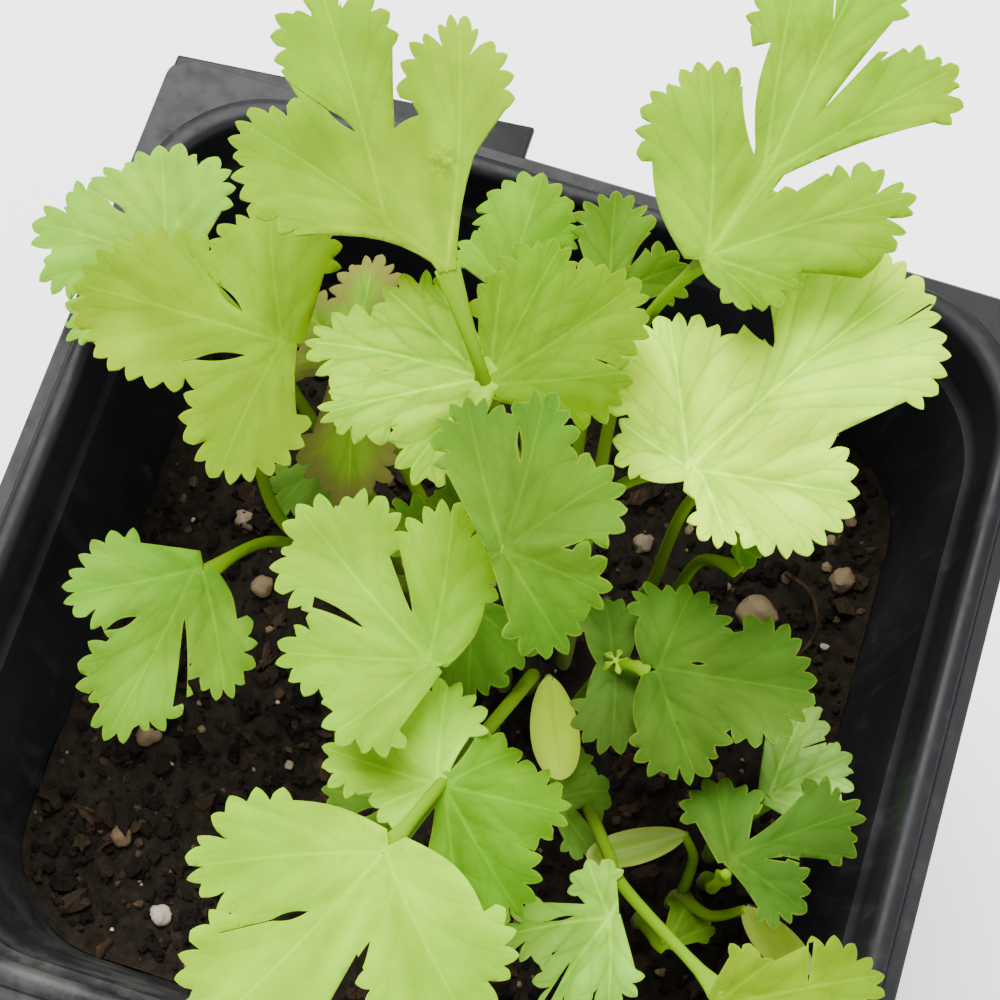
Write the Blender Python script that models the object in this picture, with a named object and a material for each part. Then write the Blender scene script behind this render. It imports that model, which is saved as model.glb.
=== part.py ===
"""Coriander seedlings in a square black nursery pot.

The pot stands on z = 0 with its bottom centre at the origin. +Y runs away from
the viewer and +X to the right. Sizes in the tables are millimetres and degrees.
"""

import math

import bmesh
import bpy
from mathutils import Matrix, Vector, noise
from mathutils.geometry import delaunay_2d_cdt

MM = 0.001

# Pot: a square rim on a tapered body
POT_HEIGHT = 80.0
LIP_HALF = 47.5
LIP_CORNER = 2.5
BEAD_OUTER_HALF = 46.0
BEAD_INNER_HALF = 43.7
RIM_CORNER = 13.0
LIP_DROP = 1.1
LIP_THICK = 1.1
WALL_THICK = 1.0
LEDGE_DEPTH = 8.0
LEDGE_WIDTH = 0.8
WALL_TAPER = 0.14
FLOOR_THICK = 1.4
FLOOR_CORNER = 9.0
DRAIN_RADIUS = 3.5
DRAIN_PLACES = [(20, 20), (-20, 20), (-20, -20), (20, -20), (0, 24), (0, -24), (24, 0), (-24, 0)]
TAB_WIDTH = 3.6
TAB_END_X = -9.5
CORNER_STEPS = 5

# Soil
SOIL_DEPTH = 29.0
SOIL_GAP = 0.35
SOIL_RELIEF = 1.5
SOIL_RINGS = 7
SOIL_STEPS = 32
PEBBLES = [
    (27.6, 16.4, 2.3), (-19.1, 36.8, 1.7), (-22.8, -33.6, 1.3), (13.6, 20.5, 1.3),
    (26.9, -24.9, 1.6), (35.6, 22.8, 1.5), (-24.5, 3.0, 1.4), (-30.5, -16.0, 1.5),
]

# Stalks
ROOT_DEPTH = 9.0
STALK_ROOT_RADIUS = 0.8
STALK_TIP_RADIUS = 0.52
STALK_STRAIGHT = 3.0
STALK_STEPS = 3
HOLE_CLEARANCE = 0.4

# Leaf blades
BLADE_THICK = 0.64
TOOTH_PITCH = 2.5
LEAST_TEETH = 4
TOOTH_DEPTH = 0.95
LOBE_NECK = 0.3
SLIT_START = 0.42
SLIT_LIMIT = 95.0
SLIT_LEAST_REACH = 9.0
SLIT_BOW = 0.07
SLIT_PROFILE = [(0.1, 0.75), (0.25, 0.85), (0.5, 0.4), (0.75, 0.38), (1.0, 0.6)]
RIM_CLEARANCE = 0.5
LOBE_MIDDLE = 0.58
LOBE_TURN = 108.0
WIDE_ARC = 40.0
LOBE_SPREAD = 32.0
FOLD = 0.05
CURL = 0.9
RIPPLE = 0.5
POINTS_PER_TOOTH = 2
INNER_SPACING = 4.2

# One row a frond: where it leaves the soil, the points its stalk passes, and its blades.
# A blade has its foot (x, y, z) and its lobes (heading, reach, breadth, rise of the tip, cleft).
FRONDS = {
    "frond_tall": (
        (6.4, 6.2),
        [(4.5, 8.0, 76), (0.5, 10.0, 96), (-3.6, 12.8, 106), (-9.2, 19.4, 112)],
        [
            ((-9.2, 19.4, 112), [(163, 20.5, 14, 1, .3), (131, 28, 15, 3, .35), (99, 22.5, 11.5, 0, .3)]),
            ((-3.8, 13.0, 106), [(116, 10.5, 7, 1, .1), (157, 13.5, 10, 1, .2), (-164, 16.5, 10, -2, .2),
                                 (-112, 11, 9, -3, .2)]),
            ((-3.2, 12.7, 106), [(76, 14, 9, 0, .2), (38, 14, 11, 0, .3), (-6, 10, 9, -2, .1)]),
        ],
    ),
    "frond_front": (
        (6.4, 0.8),
        [(7.0, -3.5, 76), (6.2, -9.5, 89), (3.0, -20.2, 99), (0.7, -27.8, 105)],
        [
            ((0.7, -27.8, 105), [(-166, 17, 14, 0, .3), (-122, 22, 15, -1, .3), (-60, 19, 15.5, -2, .3)]),
            ((2.7, -20.3, 99), [(94, 10, 7, -1, .2), (134, 9, 7, 0, .2), (-172, 9, 7.5, -1, .2)]),
            ((3.3, -20.2, 99), [(46, 7, 7, -1, .2), (-4, 10.5, 8, -2, .2), (-52, 11, 9, -3, .3)]),
        ],
    ),
    "leaf_back_right": (
        (9.0, 7.6),
        [(7.6, 16.0, 76), (7.0, 25.8, 92), (11.4, 30.4, 105)],
        [((11.4, 30.4, 105), [(115, 18.5, 12.5, 0, .3), (83, 35, 12.5, 4, .4), (57, 25, 10, 3, .3),
                              (33, 19, 9.5, 2, .3), (-26, 7.5, 7, 1, .1)])],
    ),
    "leaf_right": (
        (9.2, 4.7),
        [(8.2, 8.4, 78), (9.6, 11.7, 92), (15.3, 13.5, 98)],
        [((15.3, 13.5, 98), [(122, 14, 14.5, 1, .1), (57, 26.5, 16.5, 1, .1), (-2, 15, 14.5, -1, .1)])],
    ),
    "leaf_centre": (
        (3.8, 3.4),
        [(4.8, 1.2, 80), (6.0, -1.4, 98), (5.0, -2.6, 106), (2.6, -2.8, 112)],
        [((2.6, -2.8, 112), [(118, 14, 8, 0, .3), (62, 12.5, 9.5, 1, .3), (-37, 10.5, 8.5, -3, .2)])],
    ),
    "leaf_mid_left": (
        (1.3, 0.2),
        [(-1.6, -2.4, 74), (-2.8, -7.0, 92), (0.1, -11.3, 103)],
        [((0.1, -11.3, 103), [(148, 19.5, 12.5, 0, .3), (98, 14, 10, 1, .3), (-164, 14.5, 12, -2, .3)])],
    ),
    "leaf_left": (
        (-6.0, 8.2),
        [(-12.0, 2.6, 70), (-20.5, 3.0, 80), (-24.0, 8.5, 90), (-22.9, 14.1, 97)],
        [((-22.9, 14.1, 97), [(-174, 19.5, 15.5, 0, .2), (117, 14.5, 13, 1, .2), (-102, 14, 11.5, -1, .25)])],
    ),
    "leaf_far_left": (
        (-8.4, 6.6),
        [(-14.0, 10.0, 66), (-28.0, 19.0, 82), (-36.2, 22.5, 87)],
        [((-36.2, 22.5, 87), [(-175, 16, 11.5, 0, .25), (127, 13.5, 13, 0, .25), (-140, 13, 8, -1, .2)])],
    ),
    "leaf_old": (
        (-3.4, 7.0),
        [(-6.0, 9.0, 68), (-12.5, 12.8, 82), (-16.9, 14.8, 87)],
        [((-16.9, 14.8, 87), [(111, 12.5, 11, -1, .2), (172, 5, 7, 0, .2), (-76, 10.5, 9.5, -1, .2)])],
    ),
    "leaf_back_small": (
        (3.7, 9.2),
        [(1.0, 16.0, 68), (-3.4, 26.0, 82), (-5.3, 29.1, 86)],
        [((-5.3, 29.1, 86), [(140, 7.5, 6, 0, .1), (96, 12.5, 8, 0, .2), (66, 10.5, 6, -1, .1)])],
    ),
    "leaf_back_mid": (
        (6.4, 9.4),
        [(5.0, 18.0, 70), (3.2, 28.5, 84), (3.5, 31.8, 87)],
        [((3.5, 31.8, 87), [(103, 12, 8.5, 0, .2), (45, 9, 7, -1, .1)])],
    ),
    "leaf_low_left": (
        (-8.0, 3.6),
        [(-12.0, 3.4, 62), (-21.0, 2.6, 73), (-26.1, -3.8, 77)],
        [((-26.1, -3.8, 77), [(-154, 13.5, 11, 0, .25), (-104, 18, 11.5, -2, .3), (-53, 12.5, 8.5, -1, .25)])],
    ),
    "frond_low_right": (
        (11.6, -1.0),
        [(12.4, -1.6, 68), (14.0, -1.7, 82), (17.2, -1.8, 85)],
        [
            ((17.2, -1.8, 85), [(74, 9, 7.5, 0, .2), (10, 16, 11.5, -1, .25), (-57, 10.5, 9, -2, .2)]),
            ((14.0, -1.7, 82), [(124, 5.5, 6, 0, .1)]),
            ((14.1, -1.9, 82), [(-82, 7.8, 7, -1, .1)]),
        ],
    ),
    "leaf_corner": (
        (30.0, -13.4),
        [(29.8, -15.4, 64), (29.2, -17.4, 74), (29.6, -16.8, 80)],
        [((29.6, -16.8, 80), [(118, 7.5, 7.5, 0, .2), (33, 13, 8.5, 0, .25), (-4, 9.5, 7, -2, .2)])],
    ),
    "leaf_corner_pale": (
        (29.8, -10.6),
        [(29.8, -9.8, 60), (31.2, -8.6, 68), (32.2, -7.1, 72)],
        [((32.2, -7.1, 72), [(72, 11, 6, 0, .2), (36, 8, 6, -1, .1)])],
    ),
    "frond_corner": (
        (12.2, -7.6),
        [(15.2, -11.0, 64), (18.6, -17.6, 77), (21.0, -21.6, 84), (30.2, -29.3, 97)],
        [
            ((30.2, -29.3, 97), [(48, 7, 6.5, 0, .1), (25, 14, 7.5, 0, .2), (-16, 12, 7.5, -1, .2)]),
            ((20.8, -21.8, 83.6), [(153, 5, 5.5, 0, .1), (-155, 11, 7, -1, .2), (-114, 11.5, 6.5, -2, .2),
                                   (-76, 9.5, 6.5, -2, .2)]),
        ],
    ),
    "leaf_front_small": (
        (8.6, -8.4),
        [(8.8, -11.4, 60), (10.0, -14.4, 66), (10.6, -15.5, 68)],
        [((10.6, -15.5, 68), [(66, 6.5, 5.5, 0, .1), (14, 4.8, 5.5, 0, .1), (-44, 5.5, 5.5, -1, .1)])],
    ),
    "leaf_shade_left": (
        (-3.6, 4.0),
        [(-7.5, 6.5, 64), (-15.0, 10.4, 75), (-18.2, 11.7, 78)],
        [((-18.2, 11.7, 78), [(-117, 8.5, 6, -1, .1), (-68, 7.5, 7, -1, .1)])],
    ),
    "leaf_shade_front": (
        (4.2, -5.0),
        [(3.0, -10.0, 66), (1.8, -17.4, 80), (1.3, -19.2, 84)],
        [((1.3, -19.2, 84), [(-168, 9.5, 6, -1, .1), (-131, 9.5, 7.5, -2, .1)])],
    ),
    "leaf_shade_back": (
        (1.2, 3.0),
        [(0.4, 2.4, 72), (0.4, 1.6, 84), (1.0, 0.4, 91)],
        [((1.0, 0.4, 91), [(162, 12, 8, 0, .2), (126, 11, 7, 0, .2)])],
    ),
    "leaf_shade_mid": (
        (3.8, 0.4),
        [(3.2, -1.0, 72), (1.8, -2.2, 85), (0.6, -2.7, 91)],
        [((0.6, -2.7, 91), [(-24, 7, 7, 0, .2), (-76, 8.5, 8, -1, .2)])],
    ),
    "leaf_under_right": (
        (15.4, 13.8),
        [(15.8, 13.6, 62), (16.4, 15.6, 82), (20.5, 20.5, 90)],
        [((20.5, 20.5, 90), [(95, 7, 6, 0, .1), (48, 10, 7, -1, .1), (0, 7.5, 6, -1, .1)])],
    ),
    "leaf_under_right_low": (
        (18.0, 12.6),
        [(18.2, 12.4, 62), (19.4, 12.6, 76), (23.0, 11.0, 82)],
        [((23.0, 11.0, 82), [(20, 7.5, 6, 0, .1), (-30, 7, 6, -1, .1)])],
    ),
    "leaf_tiny": (
        (24.6, -19.2),
        [(25.4, -20.6, 57), (26.6, -21.8, 61), (27.4, -22.1, 62)],
        [((27.4, -22.1, 62), [(80, 3.4, 4, 0, .1), (10, 4, 4, 0, .1), (-60, 3.6, 4, 0, .1)])],
    ),
}

# One row a seedling: where it leaves the soil, the points its stem passes, and its seed leaves,
# plain ovals with the points of their own stalk, then heading, length, breadth and rise.
SEEDLINGS = {
    "seedling_centre": (
        (9.4, -1.9),
        [(9.3, -2.1, 60), (8.8, -2.8, 72), (8.6, -3.0, 75)],
        [([], -66, 9.6, 5.2, -1)],
    ),
    "seedling_front": (
        (27.4, -16.4),
        [(27.6, -16.2, 58), (27.4, -15.4, 64), (27.0, -14.2, 69), (25.4, -13.0, 72)],
        [([], -150, 9.4, 3.8, -1), ([(27.5, -16.4, 58), (30.4, -18.6, 65), (33.0, -17.8, 70)], -25, 8.5, 4.2, -2)],
    ),
}

COLOURS = {
    "pot": (0.018, 0.019, 0.022),
    "soil": (0.035, 0.022, 0.014),
    "leaf": (0.28, 0.50, 0.07),
    "seed_leaf": (0.50, 0.58, 0.14),
}


def clear_scene():
    for thing in list(bpy.data.objects):
        bpy.data.objects.remove(thing, do_unlink=True)


def material(name, colour, roughness):
    made = bpy.data.materials.new(name)
    made.use_nodes = True
    shader = made.node_tree.nodes["Principled BSDF"]
    shader.inputs["Base Color"].default_value = (*colour, 1.0)
    shader.inputs["Roughness"].default_value = roughness
    made.diffuse_color = (*colour, 1.0)
    return made


def object_from(name, mesh_data, finish, collection=None):
    """A new object in metres from a bmesh built in millimetres."""
    mesh = bpy.data.meshes.new(name)
    bmesh.ops.scale(mesh_data, vec=(MM, MM, MM), verts=mesh_data.verts)
    bmesh.ops.recalc_face_normals(mesh_data, faces=mesh_data.faces)
    mesh_data.to_mesh(mesh)
    mesh_data.free()
    mesh.materials.append(finish)
    made = bpy.data.objects.new(name, mesh)
    (collection or bpy.context.scene.collection).objects.link(made)
    return made


def apply_modifier(piece, modifier):
    bpy.context.view_layer.objects.active = piece
    with bpy.context.temp_override(object=piece, active_object=piece, selected_objects=[piece]):
        bpy.ops.object.modifier_apply(modifier=modifier.name)


def join_all(piece, collection, operation="UNION"):
    """One Boolean with every object of the collection, applied, and the collection emptied."""
    modifier = piece.modifiers.new("join", "BOOLEAN")
    modifier.operand_type = "COLLECTION"
    modifier.collection = collection
    modifier.operation = operation
    modifier.solver = "MANIFOLD"
    apply_modifier(piece, modifier)
    for helper in list(collection.objects):
        bpy.data.objects.remove(helper, do_unlink=True)
    bpy.data.collections.remove(collection)


def helper_collection(name):
    made = bpy.data.collections.new(name)
    bpy.context.scene.collection.children.link(made)
    return made


def rounded_square(half, corner, z, steps=CORNER_STEPS):
    """Points of a square with round corners, anticlockwise seen from above."""
    points = []
    for quarter in range(4):
        turn = math.radians(90 * quarter)
        centre = Vector((half - corner, half - corner, 0))
        centre.rotate(Matrix.Rotation(turn, 3, "Z"))
        for step in range(steps + 1):
            angle = turn + math.radians(90 * step / steps)
            points.append((centre.x + corner * math.cos(angle), centre.y + corner * math.sin(angle), z))
    return points


def ring_of(mesh_data, points):
    return [mesh_data.verts.new(point) for point in points]


def bridge(mesh_data, lower, upper):
    count = len(lower)
    for i in range(count):
        j = (i + 1) % count
        mesh_data.faces.new((lower[i], lower[j], upper[j], upper[i]))


def inner_half(z):
    """Half the pot's inside width at a height, under its ledge."""
    return BEAD_INNER_HALF - WALL_TAPER * (POT_HEIGHT - z)


def corner_at(z):
    return FLOOR_CORNER + (RIM_CORNER - FLOOR_CORNER) * z / POT_HEIGHT


def make_pot(finish):
    top = POT_HEIGHT
    lip = top - LIP_DROP
    ledge = top - LEDGE_DEPTH
    above_ledge = inner_half(ledge) + LEDGE_WIDTH
    inner_floor = inner_half(FLOOR_THICK)
    sections = [
        (inner_half(0) + WALL_THICK - 1.2, corner_at(0), 0.0),
        (inner_half(0) + WALL_THICK, corner_at(0) + 0.5, 1.2),
        (inner_half(ledge - 1.5) + WALL_THICK, corner_at(ledge), ledge - 1.5),
        (above_ledge + WALL_THICK, corner_at(ledge) + 0.5, ledge),
        (BEAD_INNER_HALF + WALL_THICK, RIM_CORNER, lip - LIP_THICK - 0.4),
        (BEAD_OUTER_HALF + 0.3, RIM_CORNER, lip - LIP_THICK),
        (LIP_HALF, LIP_CORNER, lip - LIP_THICK),
        (LIP_HALF, LIP_CORNER, lip),
        (BEAD_OUTER_HALF, RIM_CORNER, lip),
        (BEAD_OUTER_HALF - 0.5, RIM_CORNER, top - 0.3),
        (BEAD_OUTER_HALF - 1.1, RIM_CORNER, top),
        (BEAD_INNER_HALF + 0.4, RIM_CORNER, top - 0.25),
        (BEAD_INNER_HALF, RIM_CORNER, top - 1.0),
        (above_ledge, corner_at(ledge), ledge),
        (inner_half(ledge - 1.0), corner_at(ledge), ledge - 1.0),
        (inner_floor, corner_at(0), FLOOR_THICK + 1.0),
        (inner_floor - 1.0, corner_at(0) - 1.0, FLOOR_THICK),
    ]
    mesh_data = bmesh.new()
    rings = [ring_of(mesh_data, rounded_square(*section)) for section in sections]
    for lower, upper in zip(rings, rings[1:]):
        bridge(mesh_data, lower, upper)
    mesh_data.faces.new(rings[0])
    mesh_data.faces.new(rings[-1])
    pot = object_from("pot", mesh_data, finish)

    tab = bmesh.new()
    left, right = -LIP_HALF, TAB_END_X
    inner_y, outer_y = LIP_HALF - 1.0, LIP_HALF + TAB_WIDTH
    outline = [(left, inner_y), (right + 0.6, inner_y), (right, outer_y), (left + 2.6, outer_y), (left, LIP_HALF)]
    low = ring_of(tab, [(x, y, lip - LIP_THICK + 0.1) for x, y in outline])
    high = ring_of(tab, [(x, y, lip - 0.05) for x, y in outline])
    bridge(tab, low, high)
    tab.faces.new(low)
    tab.faces.new(high)
    helpers = helper_collection("tab_piece")
    object_from("tab", tab, finish, helpers)
    join_all(pot, helpers)

    helpers = helper_collection("drain_cutters")
    for index, (x, y) in enumerate(DRAIN_PLACES):
        drain = bmesh.new()
        place = Matrix.Translation((x, y, 0))
        bmesh.ops.create_cone(drain, cap_ends=True, segments=16, radius1=DRAIN_RADIUS,
                              radius2=DRAIN_RADIUS, depth=8, matrix=place)
        object_from(f"drain_{index}", drain, finish, helpers)
    join_all(pot, helpers, "DIFFERENCE")
    return pot


def soil_level(x, y):
    """Height of the soil's crumbly top: broad lumps with smaller clods on them."""
    broad = noise.noise(Vector((x / 16, y / 16, 3.1)))
    clods = noise.noise(Vector((x / 5.5, y / 5.5, 8.4)))
    return POT_HEIGHT - SOIL_DEPTH + SOIL_RELIEF * (0.8 * broad + 0.7 * clods)


def make_soil(finish, stalk_places):
    top = POT_HEIGHT - SOIL_DEPTH
    steps = SOIL_STEPS // 4 - 1
    mesh_data = bmesh.new()
    rings = []
    for z in (FLOOR_THICK + SOIL_GAP, top - 3):
        half = inner_half(z) - SOIL_GAP - (1.0 if z < top - 3 else 0.0)
        rings.append(ring_of(mesh_data, rounded_square(half, corner_at(z), z, steps)))
    edge = rounded_square(inner_half(top - 2) - SOIL_GAP, corner_at(top), 0, steps)
    for ring in range(SOIL_RINGS):
        share = 1 - ring / SOIL_RINGS
        level = [(x * share, y * share) for x, y, _ in edge]
        rings.append(ring_of(mesh_data, [(x, y, soil_level(x, y)) for x, y in level]))
    for lower, upper in zip(rings, rings[1:]):
        bridge(mesh_data, lower, upper)
    mesh_data.faces.new(rings[0])
    centre = mesh_data.verts.new((0, 0, soil_level(0, 0)))
    last = rings[-1]
    for i, vertex in enumerate(last):
        mesh_data.faces.new((vertex, last[(i + 1) % len(last)], centre))
    soil = object_from("soil", mesh_data, finish)

    helpers = helper_collection("pebbles")
    for index, (x, y, radius) in enumerate(PEBBLES):
        pebble = bmesh.new()
        bmesh.ops.create_icosphere(pebble, subdivisions=1, radius=radius)
        for vertex in pebble.verts:
            vertex.co *= 1 + 0.25 * noise.noise(vertex.co * 0.9 + Vector((index * 7, 0, 0)))
            vertex.co.z *= 0.75
        bmesh.ops.translate(pebble, vec=(x, y, soil_level(x, y) + radius * 0.15), verts=pebble.verts)
        object_from(f"pebble_{index}", pebble, finish, helpers)
    join_all(soil, helpers)

    helpers = helper_collection("stalk_holes")
    for index, (x, y) in enumerate(stalk_places):
        hole = bmesh.new()
        depth = ROOT_DEPTH + 12
        place = Matrix.Translation((x, y, top - ROOT_DEPTH - 1 + depth / 2))
        radius = STALK_ROOT_RADIUS + HOLE_CLEARANCE
        bmesh.ops.create_cone(hole, cap_ends=True, segments=8, radius1=radius, radius2=radius,
                              depth=depth, matrix=place)
        object_from(f"hole_{index}", hole, finish, helpers)
    join_all(soil, helpers, "DIFFERENCE")
    return soil


def smooth_path(points, steps):
    """Points along a smooth curve through the given ones."""
    ends = [points[0]] + points + [points[-1]]
    path = []
    for a, b, c, d in zip(ends, ends[1:], ends[2:], ends[3:]):
        for step in range(steps):
            u = step / steps
            path.append(0.5 * ((2 * b) + (c - a) * u + (2 * a - 5 * b + 4 * c - d) * u * u
                               + (3 * b - a - 3 * c + d) * u ** 3))
    return path + [points[-1]]


def tube_along(name, path, finish, collection=None):
    """A round tube that tapers along its path."""
    curve = bpy.data.curves.new(name, "CURVE")
    curve.dimensions = "3D"
    curve.bevel_depth = STALK_ROOT_RADIUS * MM
    curve.bevel_resolution = 1
    curve.use_fill_caps = True
    spline = curve.splines.new("POLY")
    spline.points.add(len(path) - 1)
    for index, (point, place) in enumerate(zip(spline.points, path)):
        share = index / (len(path) - 1)
        point.co = (*(place * MM), 1)
        point.radius = 1 + (STALK_TIP_RADIUS / STALK_ROOT_RADIUS - 1) * share
    guide = bpy.data.objects.new(name + "_curve", curve)
    bpy.context.scene.collection.objects.link(guide)
    bpy.context.view_layer.update()
    graph = bpy.context.evaluated_depsgraph_get()
    mesh = bpy.data.meshes.new_from_object(guide.evaluated_get(graph))
    bpy.data.objects.remove(guide, do_unlink=True)
    bpy.data.curves.remove(curve)
    welded = bmesh.new()
    welded.from_mesh(mesh)
    bpy.data.meshes.remove(mesh)
    bmesh.ops.remove_doubles(welded, verts=welded.verts, dist=0.00001)
    bmesh.ops.scale(welded, vec=(1 / MM, 1 / MM, 1 / MM), verts=welded.verts)
    return object_from(name, welded, finish, collection)


def make_stalk(name, root, via, finish):
    """A stalk that stands straight in the soil and then bends through its points."""
    top = POT_HEIGHT - SOIL_DEPTH
    base = Vector((*root, top - ROOT_DEPTH))
    bend = Vector((*root, top + STALK_STRAIGHT))
    path = [base] + smooth_path([bend] + [Vector(point) for point in via], STALK_STEPS)
    return tube_along(name, path, finish)


def lobe_outline(heading, reach, breadth, cleft):
    """A fan that widens from the blade's foot to a round crown cut into lobules and teeth."""
    middle = reach * LOBE_MIDDLE
    crown = reach - middle
    half = breadth / 2
    arc = 2 * math.radians(LOBE_TURN) * math.sqrt((crown ** 2 + half ** 2) / 2)
    teeth = max(LEAST_TEETH, round(arc / TOOTH_PITCH))
    lobules = 3 if arc < WIDE_ARC else 5
    steps = teeth * POINTS_PER_TOOTH
    local = [(-0.3, -half * LOBE_NECK)]
    for step in range(steps + 1):
        share = step / steps
        angle = math.radians(LOBE_TURN) * (2 * share - 1)
        place = share * teeth
        bump = 1 - abs(2 * (place % 1) - 1) ** 1.5
        uneven = 1 + 0.22 * math.sin(2.4 * math.floor(place) + heading)
        scallop = (1 - abs(math.sin(lobules * math.pi * share))) ** 2 * math.sin(math.pi * share)
        depth = TOOTH_DEPTH * uneven * (1 - bump) + cleft * crown * scallop
        local.append((middle + (crown - depth) * math.cos(angle), (half - depth) * math.sin(angle)))
    local.append((-0.3, half * LOBE_NECK))
    c, d = math.cos(math.radians(heading)), math.sin(math.radians(heading))
    return [Vector((s * c - t * d, s * d + t * c)) for s, t in local]


def turn_between(a, b):
    return (a - b + 180) % 360 - 180


def blade_height(x, y, lobes, phase):
    """How far the blade's surface lies above its foot, from the lobes that pass near."""
    far = math.hypot(x, y)
    if far < 1e-6:
        return 0.0
    here = math.degrees(math.atan2(y, x))
    total = weight_sum = 0.0
    for heading, reach, breadth, rise, _ in lobes:
        off = turn_between(here, heading)
        weight = math.exp(-(off / LOBE_SPREAD) ** 2) + 1e-6
        along = max(0.0, far * math.cos(math.radians(off))) / reach
        across = far * math.sin(math.radians(off))
        value = rise * along ** 1.4 + FOLD * across * across / breadth * 2 - CURL * along ** 4
        value += RIPPLE * along ** 2 * math.sin(math.radians(4 * here) + phase)
        total += weight * value
        weight_sum += weight
    return total / weight_sum


def slit_outline(first, second):
    """The narrow eye-shaped gap that parts two neighbouring lobes."""
    heading_a, reach_a, breadth_a = first[:3]
    heading_b, reach_b, breadth_b = second[:3]
    share = (breadth_a / reach_a) / (breadth_a / reach_a + breadth_b / reach_b)
    heading = heading_a + turn_between(heading_b, heading_a) * share
    start, end = SLIT_START * min(reach_a, reach_b), 1.1 * max(reach_a, reach_b)
    c, d = math.cos(math.radians(heading)), math.sin(math.radians(heading))
    bow = SLIT_BOW * (reach_a - reach_b + 4)
    local = [(start, 0)]
    for side, profile in ((-1, SLIT_PROFILE), (1, SLIT_PROFILE[::-1])):
        for along, width in profile:
            local.append((start + (end - start) * along, side * width / 2 + bow * math.sin(3 * along)))
    return [Vector((s * c - t * d, s * d + t * c)) for s, t in local]


def slits_between(lobes):
    """A slit for each pair of lobes that stand close side by side."""
    ordered = sorted(lobes, key=lambda lobe: (lobe[0] - lobes[0][0] + 180) % 360)
    pairs = list(zip(ordered, ordered[1:]))
    return [slit_outline(a, b) for a, b in pairs
            if turn_between(b[0], a[0]) < SLIT_LIMIT and max(a[1], b[1]) > SLIT_LEAST_REACH]


def inner_points(outlines, spacing):
    """A staggered grid of points over the blade, for its curved surface."""
    border = [p for outline in outlines for p in outline]
    left, right = min(p.x for p in border), max(p.x for p in border)
    low, high = min(p.y for p in border), max(p.y for p in border)
    rise = spacing * 0.87
    points = []
    for row in range(1, int((high - low) / rise) + 1):
        for column in range(int((right - left) / spacing) + 2):
            point = Vector((left + (column + 0.5 * (row % 2)) * spacing, low + row * rise))
            if min((point - p).length for p in border) > spacing * RIM_CLEARANCE:
                points.append(point)
    return points


def largest_patch(triangles):
    """The triangles that hang together edge to edge in the largest group."""
    by_edge = {}
    for index, triangle in enumerate(triangles):
        for k in range(3):
            by_edge.setdefault(frozenset((triangle[k], triangle[(k + 1) % 3])), []).append(index)
    left, best = set(range(len(triangles))), []
    while left:
        group, front = [], [left.pop()]
        while front:
            index = front.pop()
            group.append(index)
            triangle = triangles[index]
            for k in range(3):
                for other in by_edge[frozenset((triangle[k], triangle[(k + 1) % 3]))]:
                    if other in left:
                        left.remove(other)
                        front.append(other)
        best = max(best, group, key=len)
    return [triangles[index] for index in best]


def flat_blade(outlines, slits, spacing):
    """The triangles of the joined lobe outlines less the slits: points and faces in the plane."""
    points, faces = [], []
    for outline in outlines + slits:
        faces.append(list(range(len(points), len(points) + len(outline))))
        points += outline
    points += inner_points(outlines + slits, spacing)
    found, _, triangles, _, _, inside = delaunay_2d_cdt(points, [], faces, 1, 1e-4)
    count = len(outlines)
    kept = [t for t, holders in zip(triangles, inside) if holders and max(holders) < count]
    return found, largest_patch(kept)


def make_blade(name, foot, outlines, slits, height_of, finish, collection):
    """A thin solid leaf blade with the same triangles on both faces."""
    flat, triangles = flat_blade(outlines, slits, INNER_SPACING)
    used = sorted({i for triangle in triangles for i in triangle})
    mesh_data = bmesh.new()
    above, below = {}, {}
    step = 0.05
    for i in used:
        x, y = flat[i]
        z = height_of(x, y)
        slope = Vector((height_of(x - step, y) - height_of(x + step, y),
                        height_of(x, y - step) - height_of(x, y + step), 2 * step)).normalized()
        middle = Vector((foot[0] + x, foot[1] + y, foot[2] + z))
        above[i] = mesh_data.verts.new(middle + slope * BLADE_THICK / 2)
        below[i] = mesh_data.verts.new(middle - slope * BLADE_THICK / 2)
    edges = {}
    for a, b, c in triangles:
        mesh_data.faces.new((above[a], above[b], above[c]))
        mesh_data.faces.new((below[c], below[b], below[a]))
        for pair in ((a, b), (b, c), (c, a)):
            edges[pair] = True
    for a, b in edges:
        if (b, a) not in edges:
            mesh_data.faces.new((above[a], below[a], below[b]))
            mesh_data.faces.new((above[a], below[b], above[b]))
    return object_from(name, mesh_data, finish, collection)


def make_frond(name, root, via, blades, finish):
    """A stalk with its blades, joined in one solid."""
    helpers = helper_collection(name + "_blades")
    for index, (foot, lobes) in enumerate(blades):
        outlines = [lobe_outline(heading, reach, breadth, cleft)
                    for heading, reach, breadth, _, cleft in lobes]
        phase = index * 2.1 + foot[0]
        make_blade(f"{name}_blade_{index}", foot, outlines, slits_between(lobes),
                   lambda x, y, lobes=lobes, phase=phase: blade_height(x, y, lobes, phase),
                   finish, helpers)
    stalk = make_stalk(name, root, via, finish)
    join_all(stalk, helpers)
    return stalk


def seed_leaf_outline(heading, length, breadth):
    points = []
    steps = 18
    for step in range(steps):
        angle = 2 * math.pi * step / steps
        s = length * (0.5 - 0.52 * math.cos(angle))
        t = breadth / 2 * math.sin(angle) * (0.35 + 0.65 * math.sin(angle / 2) ** 0.8)
        points.append((s, -t))
    c, d = math.cos(math.radians(heading)), math.sin(math.radians(heading))
    return [Vector((s * c - t * d, s * d + t * c)) for s, t in points]


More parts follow.
